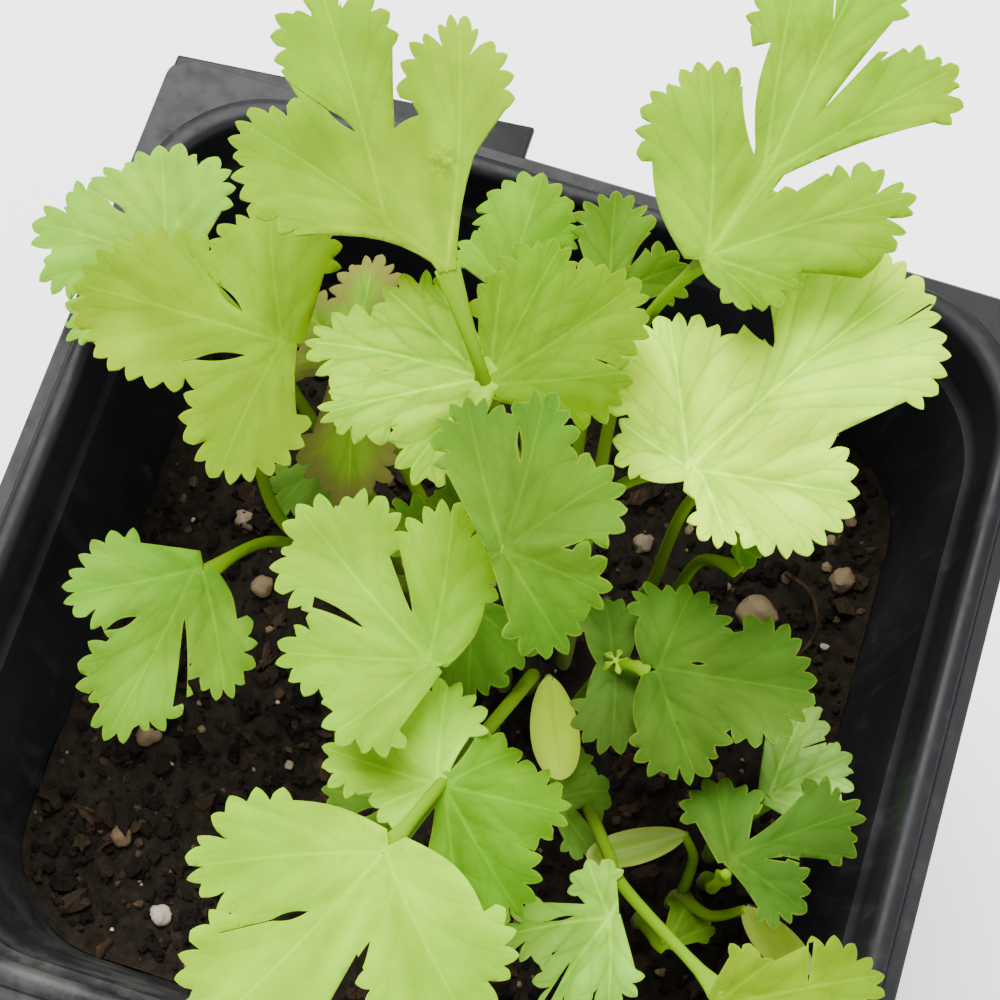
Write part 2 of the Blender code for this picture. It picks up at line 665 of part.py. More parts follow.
def make_seedling(name, root, via, leaves, finish):
    """A short stem with its plain oval seed leaves, joined in one solid."""
    helpers = helper_collection(name + "_blades")
    for index, (own_stalk, heading, length, breadth, rise) in enumerate(leaves):
        foot = (own_stalk or via)[-1]
        if own_stalk:
            path = smooth_path([Vector(point) for point in own_stalk], STALK_STEPS)
            tube_along(f"{name}_stalk_{index}", path, finish, helpers)
        make_blade(f"{name}_blade_{index}", foot, [seed_leaf_outline(heading, length, breadth)], [],
                   lambda x, y, length=length, rise=rise: rise * math.sin(
                       min(1.0, math.hypot(x, y) / length) * math.pi * 0.7),
                   finish, helpers)
    stem = make_stalk(name, root, via, finish)
    join_all(stem, helpers)
    return stem


def main():
    clear_scene()
    pot_finish = material("pot_plastic", COLOURS["pot"], 0.45)
    soil_finish = material("potting_soil", COLOURS["soil"], 0.95)
    leaf_finish = material("leaf_green", COLOURS["leaf"], 0.5)
    seed_finish = material("seed_leaf_green", COLOURS["seed_leaf"], 0.5)
    make_pot(pot_finish)
    roots = [row[0] for row in FRONDS.values()] + [row[0] for row in SEEDLINGS.values()]
    make_soil(soil_finish, roots)
    for name, (root, via, blades) in FRONDS.items():
        make_frond(name, root, via, blades, leaf_finish)
    for name, (root, via, blades) in SEEDLINGS.items():
        make_seedling(name, root, via, blades, seed_finish)


main()
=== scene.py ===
"""Looks of the coriander seedlings in their square nursery pot, around the fixed frame.

Lengths in the tables are millimetres and degrees; everything in the scene is in metres.
"""
import math
import random
from collections import namedtuple

import bmesh
import bpy
import numpy as np
from mathutils import Matrix, Vector, noise
from mathutils.geometry import delaunay_2d_cdt


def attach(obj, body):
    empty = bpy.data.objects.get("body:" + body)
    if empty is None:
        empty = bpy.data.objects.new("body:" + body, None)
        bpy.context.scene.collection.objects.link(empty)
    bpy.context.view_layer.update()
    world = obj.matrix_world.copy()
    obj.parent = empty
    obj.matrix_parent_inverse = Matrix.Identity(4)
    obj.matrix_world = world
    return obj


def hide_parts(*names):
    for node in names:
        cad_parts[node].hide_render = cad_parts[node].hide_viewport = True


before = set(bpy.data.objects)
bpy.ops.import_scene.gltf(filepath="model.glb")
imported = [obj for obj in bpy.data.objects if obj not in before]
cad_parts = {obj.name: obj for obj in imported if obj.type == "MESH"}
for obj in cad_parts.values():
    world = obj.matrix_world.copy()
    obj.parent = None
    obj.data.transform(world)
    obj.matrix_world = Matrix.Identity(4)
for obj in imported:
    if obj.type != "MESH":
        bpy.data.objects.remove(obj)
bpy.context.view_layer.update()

MM = 0.001

# Pot
POT_HEIGHT = 80.0
LIP_HALF = 47.5
LIP_CORNER = 2.5
LIP_DROP = 1.1
LIP_THICK = 1.1
BEAD_OUTER_HALF = 46.0
BEAD_INNER_HALF = 43.7
RIM_CORNER = 13.0
CORNER_SHARE = RIM_CORNER / BEAD_INNER_HALF
WALL_THICK = 1.0
WALL_TAPER = 0.14
LEDGE_DEPTH = 8.0
LEDGE_WIDTH = 0.8
FLOOR_THICK = 1.4
FOOT_INSET = 1.2
DRAIN_RADIUS = 3.5
DRAIN_PLACES = [(20, 20), (-20, 20), (-20, -20), (20, -20), (0, 24), (0, -24), (24, 0), (-24, 0)]
TAB_WIDTH = 3.6
TAB_END_X = -9.5
TAB_INSET = 0.4
TAB_OVERLAP = 1.5
LIP_HOLE_HALF = BEAD_OUTER_HALF - 0.9
POT_CORNER_SEGMENTS = 16

# Soil: its block has a gridded top, then a short skirt, then sides down to a smaller foot
SOIL_TOP = POT_HEIGHT - 29.0
SOIL_GAP = 0.35
SOIL_RELIEF = 1.5
SOIL_CELL = 0.75
SOIL_SKIRT = 4
SOIL_FOOT = 2
LUMP_FLATNESS = 0.75
LUMP_SINK = 0.25
STALK_CLEARANCE = 0.9

# Stalks. Under a blade a stalk widens and flattens over its last millimetres.
ROOT_DEPTH = 9.0
STALK_RADII = (0.72, 0.5)
SEED_STALK_RADII = (0.7, 0.42)
STALK_SWELL = 0.25
STALK_STRAIGHT = 3.0
STALK_STEPS = 8
STALK_OVERLAP = 0.3
WING_LENGTH = 5.0
WING_LENGTHS = {"frond_tall": 9.0, "frond_low_right": 2.0}
WING_SPREAD = 1.3
WING_FLATNESS = 0.72

# Outlines of the blades. A form that turns no further than WEB_TURN is a plain web without teeth.
TOOTH_PITCH = 2.0
TOOTH_DEPTH = 1.05
LEAST_TEETH = 4
POINTS_PER_TOOTH = 8
LOBE_NECK = 0.3
LOBE_FOOT = -0.3
LOBE_MIDDLE = 0.58
LOBE_TURN = 108.0
WIDE_ARC = 40.0
WEB_TURN = 60.0
SIDE_STEPS = 8
GAP_STEPS = 18
SLIT_START = 0.42
SLIT_LIMIT = 95.0
SLIT_LEAST_REACH = 9.0
SLIT_WIDTH = 0.62
SLIT_CLOSED = 0.45
SLIT_BOW = 0.07
SLIT_HAIR = 0.035

# Veins: half widths at the start and end of each kind
RIB_WIDTHS = (0.17, 0.07)
BRANCH_WIDTHS = (0.12, 0.08)
FORK_WIDTHS = (0.08, 0.04)
VEIN_STEP = 0.6
VEIN_REACH = 0.93

# Surfaces of the blades
LOBE_SPREAD = 32.0
FOLD = 0.05
CREASE = 0.08
CURL = 0.9
RIPPLE = 0.7
HIGHEST = 113.65
BLADE_THICK = 0.36
RIM_THICK = 0.16
RIM_FADE = 0.7
QUILT = 0.26
QUILT_WIDTH = 0.75
SLOPE_STEP = 0.05
INNER_SPACING = 0.5
CDT_OUTLINES = 1
CDT_NEAR = 1e-5
BRUISE = (-0.0124, 0.0283, 0.1125)

# Seed leaves and the growing point
SEED_LEAF_STEPS = 56
SEED_LEAF_QUILT = 0.12
BUD_QUILT = 0.05
BUD_LEAF_TURN = 72

# Stage, in metres and watts. A lamp has its place, size, power and colour.
FLOOR_SIZE = 3.0
FLOOR_DROP = 0.0002
SKY_COLOUR = (0.93, 0.96, 1.0, 1.0)
LAMPS = {
    "sky_window": ((-0.25, 0.35, 0.75), 0.7, 26.0, (1.0, 0.99, 0.97)),
    "room_bounce": ((0.55, -0.35, 0.6), 0.8, 6.0, (0.95, 0.97, 1.0)),
}
LAMP_TARGET = Vector((0, 0, 0.08))
CAMERA_PLACE = (0.0122, -0.0523, 0.2822)
CAMERA_TURN = (17.7, -1.8, 17.3)
CAMERA_LENS = 79.2

# A blade's look: brightness, hue (0 green to 1 yellow-green), paleness and strength of veins
LOOK_NAMES = ("light", "hue", "pale", "vein_strength")
# A form is a lobe of a blade's outline, or a web between lobes. It has its heading, reach, breadth,
# cleft, the share of its reach where it is widest, the turn of its crown to each side, how far its
# sides are hollowed, and its foot beside the blade's foot.
Form = namedtuple("Form", "heading reach breadth cleft middle turn hollow x y", defaults=(0, 0, 0))
# A gap has its foot, heading, length, width, the share of its length that is open, and its bow.
Gap = namedtuple("Gap", "x y heading length width open bow")

# One row a frond: where it leaves the soil, the points its stalk passes on the way to the foot of
# its first blade, and its blades. A blade has its foot (x, y, z), its look, and the lobes that bend
# it: heading, reach, breadth and rise of the tip. Then come its forms and its gaps. Where there are
# none, its lobes have a cleft too, and the outline is made from them.
FRONDS = {
    "frond_tall": ((6.4, 6.2), [(4.5, 8, 76), (0.5, 10, 96), (-3.6, 12.8, 106)], [
        ((-9.2, 19.4, 112), (0.245, 0.62, 0, 0.3), [(163, 20.5, 14, 1), (131, 28, 15, 3),
          (99, 22.5, 11.5, 0)],
         [(162, 22, 12.5, 0.12, 0.62, 104, 1.7), (123, 24, 11.5, 0.45, 0.66, 92, 0.2, -6, 2),
          (105, 24, 10.5, 0.25, 0.64, 94, 1.7), (130, 13, 11, 0, 0.6, 55, 0.5),
          (114, 14, 10, 0, 0.6, 55, 0.5)],
         [(-10.9, 8.9, 160, 8, 0.5, 0.42, 0)]),
        ((-3.8, 13, 106), (0.42, 0.72, 0.15, 1), [(116, 10.5, 7, 1), (157, 13.5, 10, 1),
          (-164, 16.5, 10, -2), (-112, 11, 9, -3)],
         [(154, 12, 9.5, 0.15, 0.6, 108), (-177, 16, 8.5, 0.15, 0.62, 100),
          (-151, 14.5, 7.5, 0.15, 0.62, 95), (-113, 10.5, 9.5, 0.2, 0.6, 108),
          (142, 6.5, 4, 0, 0.6, 90, 0, -2, 3)]),
        ((-3.2, 12.7, 106), (0.18, 0.4, 0, 0.45), [(76, 14, 9, 0), (38, 14, 11, 0), (-6, 10, 9, -2)],
         [(101, 10, 5.5, 0, 0.6, 95), (82, 15, 9, 0.12, 0.6, 105), (55, 17, 11, 0.12, 0.62, 105),
          (24, 12.5, 9, 0.12, 0.62, 105)],
         [(7.8, 5.1, -3, 2, 0.3, 1, 0)])]),
    "frond_front": ((6.4, 0.8), [(7, -3.5, 76), (6.2, -9.5, 89), (3, -20.2, 99)], [
        ((0.7, -27.8, 105), (0.38, 0.55, 0.05, 0.1), [(-166, 17, 14, 0), (-122, 22, 15, -1),
          (-60, 19, 15.5, -2)],
         [(-158, 16, 12, 0.22, 0.58, 112, -0.6), (-117, 21.5, 13.5, 0.2, 0.62, 100),
          (-46, 15.5, 13.5, 0.2, 0.6, 108, -1.1)],
         [(-4.3, -6.3, -149, 7.5, 0.6, 0.42, 0), (1.1, -7, -99, 8.5, 0.75, 0.6, 0.1)]),
        ((2.7, -20.3, 99), (0.46, 0.4, 0.15, 0.35), [(94, 10, 7, -1), (134, 9, 7, 0), (-172, 9, 7.5, -1)],
         [(102, 9.5, 8, 0.08, 0.55, 108, 0.3), (177, 10.5, 7.5, 0.12, 0.62, 100, 0.3),
          (-140, 6, 5.5, 0.1, 0.6, 95, 0.3), (146, 7, 8, 0.1, 0.6, 60)]),
        ((3.3, -20.2, 99), (0.2, 0, 0.12, 0.35), [(46, 7, 7, -1), (-4, 10.5, 8, -2), (-52, 11, 9, -3)],
         [(45, 7.5, 6.5, 0.1, 0.6, 100, 0.3), (6, 11, 8, 0.12, 0.6, 105), (-40, 12.5, 8.5, 0.12, 0.6, 105),
          (-66, 9.5, 6, 0.1, 0.6, 100, 0.2)])]),
    "leaf_back_right": ((9, 7.6), [(7.6, 16, 76), (7, 25.8, 92)], [
        ((11.4, 30.4, 105), (0.25, 0.6, 0, 0.55), [(115, 18.5, 12.5, 0), (83, 35, 12.5, 4), (57, 25, 10, 3),
          (33, 19, 9.5, 2), (-26, 7.5, 7, 1)],
         [(105, 19, 13.5, 0.15, 0.58, 110, -0.8), (73, 14.5, 6.5, 0, 0.6, 30),
          (58, 6, 6.5, 0, 0.6, 50, 0, 2, 2), (62, 14, 4.5, 0, 0.6, 30, 0, 4, 10.5),
          (97, 20, 8, 0.15, 0.66, 88, 0.3, 2.5, 9.5), (82, 23.5, 11.5, 0.15, 0.7, 86, 0.3, 3, 10),
          (47, 19, 9.5, 0.22, 0.72, 84, 0.5, 3.5, 9.5), (52, 10, 5.5, 0, 0.6, 30),
          (33, 19, 10, 0.3, 0.66, 92, 0.1), (-29, 7, 5, 0.15, 0.5, 100, -0.4), (-3, 8.5, 7, 0.1, 0.6, 90),
          (20, 15.5, 7, 0, 0.6, 50)],
         [(1.3, 10.5, 102, 11, 1.8, 1, 0.8), (4.6, 24.8, 101, 8.5, 0.35, 1, 0),
          (9.6, 21.9, 55, 6, 0.55, 0.75, 0)])]),
    "leaf_right": ((9.2, 4.7), [(8.2, 8.4, 78), (9.6, 11.7, 92)], [
        ((15.3, 13.5, 98), (0.62, 0.85, 0.15, 1), [(122, 14, 14.5, 1), (57, 26.5, 16.5, 1),
          (-2, 15, 14.5, -1)],
         [(58, 28.5, 19, 0.12, 0.7, 97), (113, 15, 14, 0.1, 0.52, 116), (164, 7.5, 8, 0.1, 0.55, 112, -0.4),
          (10, 15.5, 14.5, 0.1, 0.52, 118), (-55, 7.5, 5.5, 0.1, 0.55, 108, 0, 1, 0)],
         [(4.1, 13, 127, 7.5, 3.4, 1, 0), (3.1, 13.3, 136, 6, 3.2, 1, 0),
          (14.3, 18.8, 51, 4, 0.25, 1, 0)])]),
    "leaf_centre": ((3.8, 3.4), [(4.8, 1.2, 80), (6, -1.4, 98), (5, -2.6, 106)], [
        ((2.6, -2.8, 112), (0.132, 0.05, 0.3, 0.3), [(118, 14, 8, 0), (62, 12.5, 9.5, 1),
          (-37, 10.5, 8.5, -3)],
         [(120, 14, 8, 0.1, 0.62, 108), (92, 14, 8, 0.1, 0.62, 100), (51, 11.5, 9.5, 0.12, 0.62, 105),
          (-5, 9.5, 6.5, 0.1, 0.6, 100), (-38, 9.5, 8, 0.1, 0.6, 105)],
         [(-0.8, 7.5, 110, 3, 0.4, 0.95, 0)])]),
    "leaf_mid_left": ((1.3, 0.2), [(-1.6, -2.4, 74), (-2.8, -7, 92)], [
        ((0.1, -11.3, 103), (0.295, 0.38, 0.05, 0.35), [(148, 19.5, 12.5, 0), (98, 14, 10, 1),
          (-164, 14.5, 12, -2)],
         [(147, 18, 12.5, 0.3, 0.64, 102, 0.5, -1, 0), (99, 14, 10.5, 0.14, 0.56, 116, -0.7, -1, 0),
          (-167, 13, 8, 0.12, 0.62, 102, 0.2, -1, 0), (-124, 10.5, 9.5, 0.2, 0.6, 105, 0, -1, 0)],
         [(-7.1, 1.1, 170, 5, 0.95, 1, -0.2), (-3.6, 3.5, 124, 5.5, 1, 1, 0),
          (-15.3, 6.4, 167, 3.5, 0.25, 1, 0)])]),
    "leaf_left": ((-6, 8.2), [(-12, 2.6, 70), (-20.5, 3, 80), (-24, 8.5, 90)], [
        ((-22.9, 14.1, 97), (0.235, 0.8, 0, 0.22), [(-174, 19.5, 15.5, 0), (117, 14.5, 13, 1),
          (-102, 14, 11.5, -1)],
         [(-179, 20, 15.5, 0.06, 0.52, 126), (114, 14.5, 12.5, 0.12, 0.56, 116),
          (-96, 14, 12, 0.12, 0.56, 116, 0.2)],
         [(-4.3, 1.6, 150, 7.5, 0.75, 0.5, 0.1), (-2.7, -2.2, -155, 6, 0.85, 0.8, -0.15)])]),
    "leaf_far_left": ((-8.4, 6.6), [(-14, 10, 66), (-28, 19, 82)], [
        ((-36.2, 22.5, 87), (0.31, 0.35, 0.35, 0.25), [(-175, 16, 11.5, 0), (127, 13.5, 13, 0),
          (-140, 13, 8, -1)],
         [(180, 14, 12.5, 0.45, 0.62, 106, 0, -1.5, -0.5), (111, 13.5, 14.5, 0.25, 0.55, 114, 0, -2, -1),
          (-125, 11.5, 7.5, 0.2, 0.6, 100, 0, -2, -1)],
         [(-7.2, 3, 159, 4.5, 0.5, 0.5, 0)])]),
    "leaf_old": ((-3.4, 7), [(-6, 9, 68), (-12.5, 12.8, 82)], [
        ((-16.9, 14.8, 87), (0.24, 0.65, 0.3, 0.6), [(111, 12.5, 11, -1), (172, 5, 7, 0),
          (-76, 10.5, 9.5, -1)],
         [(98, 13, 7.5, 0.15, 0.62, 100, 0, -1, 2.5), (143, 10.5, 7, 0.15, 0.62, 100, 0, -1, 2.5),
          (-174, 7, 5, 0.1, 0.6, 95, 0, -1, 2.5), (-73, 13.5, 10, 0.2, 0.6, 110, 0, -1, 2.5)])]),
    "leaf_back_small": ((3.7, 9.2), [(1, 16, 68), (-3.4, 26, 82)], [
        ((-5.3, 29.1, 86), (0.245, 0.15, 0.1, 0.35), [(140, 7.5, 6, 0), (96, 12.5, 8, 0), (66, 10.5, 6, -1)],
         [(91, 13, 11, 0.1, 0.58, 112, 0, -1, 1), (140, 7.5, 6.5, 0.1, 0.58, 100, 0, -1, 1)])]),
    "leaf_back_mid": ((6.4, 9.4), [(5, 18, 70), (3.2, 28.5, 84)], [
        ((3.5, 31.8, 87), (0.14, 0.25, 0.25, 0.6), [(103, 12, 8.5, 0, 0.2), (45, 9, 7, -1, 0.1)])]),
    "leaf_low_left": ((-8, 3.6), [(-12, 3.4, 62), (-21, 2.6, 73)], [
        ((-26.1, -3.8, 77), (0.24, 0.2, 0.28, 0.45), [(-154, 13.5, 11, 0), (-104, 18, 11.5, -2),
          (-53, 12.5, 8.5, -1)],
         [(-150, 13.5, 11, 0.15, 0.54, 116, 0, -0.5, 0.5), (-99, 18, 11.5, 0.3, 0.62, 104, 0.2, -1, 0),
          (-61, 12.5, 8, 0.1, 0.54, 114, -0.5)],
         [(-4.6, -5.9, -138, 6.5, 0.85, 0.5, 0), (-0.3, -4.7, -74, 8.5, 1.3, 1, 0.15),
          (-6.3, -13.6, -117, 2.5, 0.3, 1, 0)])]),
    "frond_low_right": ((11.6, -1), [(12.4, -1.6, 68), (14, -1.7, 82)], [
        ((17.2, -1.8, 85), (0.118, 0.1, 0.6, 0.45), [(74, 9, 7.5, 0), (10, 16, 11.5, -1),
          (-57, 10.5, 9, -2)],
         [(83, 9, 10.5, 0.25, 0.54, 116, -0.7, 1, 0.5), (10, 15, 12.5, 0.12, 0.6, 112, 0, 1, 0.5),
          (-52, 10.5, 10, 0.25, 0.56, 114, -0.7, 1, 0)],
         [(3.6, 1.8, 14, 1.5, 0.3, 0.9, 0)]),
        ((14, -1.7, 82), (0.15, 0.15, 0.8, 0.4), [(124, 5.5, 6, 0)],
         [(111, 7.5, 7, 0.12, 0.56, 112, -0.3)]),
        ((14.1, -1.9, 82), (0.15, 0.15, 0.9, 0.4), [(-82, 7.8, 7, -1)],
         [(-75, 9, 8.5, 0.12, 0.56, 114, -0.3, 0, 1)])]),
    "leaf_corner": ((30, -13.4), [(29.8, -15.4, 64), (29.2, -17.4, 74)], [
        ((29.6, -16.8, 80), (0.097, 0.08, 0.65, 0.35), [(118, 7.5, 7.5, 0), (33, 13, 8.5, 0),
          (-4, 9.5, 7, -2)],
         [(115, 8, 8.5, 0.2, 0.56, 112, 0, 0, 1.5), (38, 13.5, 9, 0.4, 0.66, 98, 0.5, 0, 1.5),
          (-16, 8.5, 7.5, 0.15, 0.6, 108, 0.2, 0, 1.5)],
         [(1.1, 4.6, 73, 4.5, 0.9, 1, 0), (4.2, 3.1, 9, 6.5, 0.45, 1, -0.3)])]),
    "leaf_corner_pale": ((29.8, -10.6), [(29.8, -9.8, 60), (31.2, -8.6, 68)], [
        ((32.2, -7.1, 72), (0.46, 0.25, 1.3, 1), [(72, 11, 6, 0), (36, 8, 6, -1)],
         [(83, 11.5, 7, 0.15, 0.6, 105), (46, 10, 7.5, 0.2, 0.6, 105), (-4, 7, 5, 0.1, 0.6, 95)],
         [(1.9, 5.7, 37, 4, 0.3, 1, 0)])]),
    "frond_corner": ((12.2, -7.6), [(15.2, -11, 64), (18.6, -17.6, 77), (21, -21.6, 84)], [
        ((30.2, -29.3, 97), (0.185, 0.72, 0, 0.3), [(48, 7, 6.5, 0), (25, 14, 7.5, 0), (-16, 12, 7.5, -1)],
         [(53, 6, 6.5, 0.12, 0.6, 104, 0, 0, -1), (28, 14.5, 8.5, 0.16, 0.62, 105, 0, 0.5, -1),
          (1, 11, 7.5, 0.12, 0.6, 105, 0, 0.5, -1)],
         [(6.8, 2.9, 99, 3.5, 0.5, 1, 0)]),
        ((20.8, -21.8, 83.6), (0.45, 0.22, 0.55, 0.8), [(153, 5, 5.5, 0), (-155, 11, 7, -1),
          (-114, 11.5, 6.5, -2), (-76, 9.5, 6.5, -2)],
         [(128, 5.5, 5.5, 0.1, 0.58, 105, 0, -0.5, -2.5), (-153, 10, 6.5, 0.2, 0.62, 102, 0, -0.5, -2.5),
          (-109, 10, 6, 0.2, 0.62, 100, 0, -0.5, -2.5), (-73, 8, 6.5, 0.15, 0.62, 105, 0, -0.5, -2.5)],
         [(-3.5, -3.3, -151, 3, 0.35, 0.8, 0), (-2.7, -7.2, -104, 4.5, 0.6, 1, 0)])]),
    "leaf_front_small": ((8.6, -8.4), [(8.8, -11.4, 60), (10, -14.4, 66)], [
        ((10.6, -15.5, 68), (0.25, 0.2, 0.8, 0.4), [(66, 6.5, 5.5, 0), (14, 4.8, 5.5, 0),
          (-44, 5.5, 5.5, -1)],
         [(82, 6.5, 5, 0.1, 0.6, 105, 0, 2, 3), (32, 5.5, 5, 0.1, 0.6, 105, 0, 2.5, 3),
          (-35, 6.5, 5, 0.1, 0.6, 105, 0, 2, 2.5), (34, 5, 4.5, 0, 0.6, 30, 0, 0, 1)])]),
    "leaf_shade_left": ((-3.6, 4), [(-7.5, 6.5, 64), (-15, 10.4, 75)], [
        ((-18.2, 11.7, 78), (0.24, 0.1, 0.8, 0.4), [(-117, 8.5, 6, -1, 0.1), (-68, 7.5, 7, -1, 0.1)])]),
    "leaf_shade_front": ((4.2, -5), [(3, -10, 66), (1.8, -17.4, 80)], [
        ((1.3, -19.2, 84), (0.14, 0.1, 0.5, 0.3), [(-168, 9.5, 6, -1, 0.1), (-131, 9.5, 7.5, -2, 0.1)])]),
    "leaf_shade_back": ((1.2, 3), [(0.4, 2.4, 72), (0.4, 1.6, 84)], [
        ((1, 0.4, 91), (0.14, 0.1, 0.4, 0.4), [(162, 12, 8, 0, 0.2), (126, 11, 7, 0, 0.2)])]),
    "leaf_shade_mid": ((3.8, 0.4), [(3.2, -1, 72), (1.8, -2.2, 85)], [
        ((0.6, -2.7, 91), (0.14, 0.1, 0.4, 0.4), [(-24, 7, 7, 0, 0.2), (-76, 8.5, 8, -1, 0.2)])]),
    "leaf_under_right": ((15.4, 13.8), [(15.8, 13.6, 62), (16.4, 15.6, 82)], [
        ((20.5, 20.5, 90), (0.15, 0.1, 0.3, 0.4), [(95, 7, 6, 0, 0.1), (48, 10, 7, -1, 0.1),
          (0, 7.5, 6, -1, 0.1)])]),
    "leaf_under_right_low": ((18, 12.6), [(18.2, 12.4, 62), (19.4, 12.6, 76)], [
        ((23, 11, 82), (0.14, 0.1, 0.3, 0.4), [(20, 7.5, 6, 0), (-30, 7, 6, -1)],
         [(41, 2.5, 4, 0.1, 0.6, 100, 0, -1, 2), (-12, 2.5, 4, 0.1, 0.6, 100, 0, -1, 2)])]),
    "leaf_tiny": ((24.6, -19.2), [(25.4, -20.6, 57), (26.6, -21.8, 61)], [
        ((27.4, -22.1, 62), (0.24, 0.3, 0.4, 0.4), [(80, 3.4, 4, 0), (10, 4, 4, 0), (-60, 3.6, 4, 0)],
         [(78, 7, 4.5, 0.12, 0.6, 108), (41, 5.5, 3, 0.1, 0.6, 100)])]),
}

# One row a seedling: where it leaves the soil, the points its stem passes, and its seed leaves,
# plain ovals with the points of their own stalk, then heading, length, breadth, rise and tone.
SEEDLINGS = {
    "seedling_centre": ((9.4, -1.9), [(9.3, -2.1, 60), (8.8, -2.8, 72), (8.6, -3, 75)], [
        ([], -66, 9.6, 5.2, -1, 0.95)]),
    "seedling_front": (
        (27.4, -16.4), [(27.6, -16.2, 58), (27.4, -15.4, 64), (27, -14.2, 69), (25.4, -13, 72)], [
        ([], -150, 9.4, 3.8, -1, 0.15),
        ([(27.5, -16.4, 58), (30.4, -18.6, 65), (33, -17.8, 70)], -25, 8.5, 4.2, -2, 0.6)]),
}

# Where a frond carries a tiny star of unopened leaves: its place, size and brightness
BUDS = {"frond_low_right": ((14.2, -1.6, 83.9), 1.3, 0.42)}


class Graph:
    """A material's nodes, written as short calls."""

    def __init__(self, name):
        self.material = bpy.data.materials.new(name)
        self.material.use_nodes = True
        self.nodes = self.material.node_tree.nodes
        self.links = self.material.node_tree.links

    def put(self, socket, value):
        if hasattr(value, "is_output"):
            self.links.new(value, socket)
        elif isinstance(value, tuple) and len(value) == 3 and len(socket.default_value) == 4:
            socket.default_value = (*value, 1.0)
        else:
            socket.default_value = value

    def node(self, kind, inputs=(), **settings):
        made = self.nodes.new(kind)
        for key, value in settings.items():
            setattr(made, key, value)
        for key, value in dict(inputs).items():
            self.put(made.inputs[key], value)
        return made

    def place(self):
        return self.node("ShaderNodeTexCoord").outputs["Object"]

    def axis(self, name):
        return self.node("ShaderNodeSeparateXYZ", {"Vector": self.place()}).outputs[name]

    def attribute(self, name):
        return self.node("ShaderNodeAttribute", attribute_name=name).outputs["Fac"]

    def math(self, operation, a, b):
        return self.node("ShaderNodeMath", {0: a, 1: b}, operation=operation).outputs[0]

    def add(self, a, b):
        return self.math("ADD", a, b)

    def less(self, a, b):
        return self.math("SUBTRACT", a, b)

    def times(self, a, b):
        return self.math("MULTIPLY", a, b)

    def noise(self, scale, detail=4.0, rough=0.55, stretch=None):
        place = self.place()
        if stretch:
            place = self.node("ShaderNodeMapping", {"Vector": place, "Scale": stretch}).outputs[0]
        return self.node("ShaderNodeTexNoise", {"Vector": place, "Scale": scale, "Detail": detail,
                                                "Roughness": rough}).outputs["Fac"]

    def cells(self, scale):
        return self.node("ShaderNodeTexVoronoi", {"Vector": self.place(), "Scale": scale},
                         feature="DISTANCE_TO_EDGE").outputs["Distance"]

    def band(self, value, low, high, to_low=0.0, to_high=1.0):
        return self.node("ShaderNodeMapRange", {"Value": value, "From Min": low, "From Max": high,
                                                "To Min": to_low, "To Max": to_high},
                         interpolation_type="SMOOTHSTEP").outputs["Result"]

    def mix(self, factor, a, b, blend="MIX"):
        made = self.node("ShaderNodeMix", data_type="RGBA", blend_type=blend)
        for index, value in ((0, factor), (6, a), (7, b)):
            self.put(made.inputs[index], value)
        return made.outputs[2]

    def tint(self, factor, colour, by):
        """The colour, multiplied by another one by that factor."""
        return self.mix(factor, colour, self.mix(1.0, colour, by, "MULTIPLY"))

    def ramp(self, value, stops):
        made = self.node("ShaderNodeValToRGB", {"Fac": value})
        elements = made.color_ramp.elements
        while len(elements) < len(stops):
            elements.new(0.5)
        for element, (place, colour) in zip(elements, stops):
            element.position = place
            element.color = (*colour, 1.0)
        return made.outputs["Color"]

    def finish(self, colour, rough, relief=None, strength=1.0, distance=0.0, shine=0.5):
        """Join colour, roughness, bumps (strength, and distance in metres) and shine to the shader."""
        sockets = {"Base Color": colour, "Roughness": rough, "Specular IOR Level": shine}
        if relief is not None:
            bump = self.node("ShaderNodeBump", {"Height": relief, "Strength": strength, "Distance": distance})
            sockets["Normal"] = bump.outputs["Normal"]
        for key, value in sockets.items():
            self.put(self.nodes["Principled BSDF"].inputs[key], value)
        return self.material


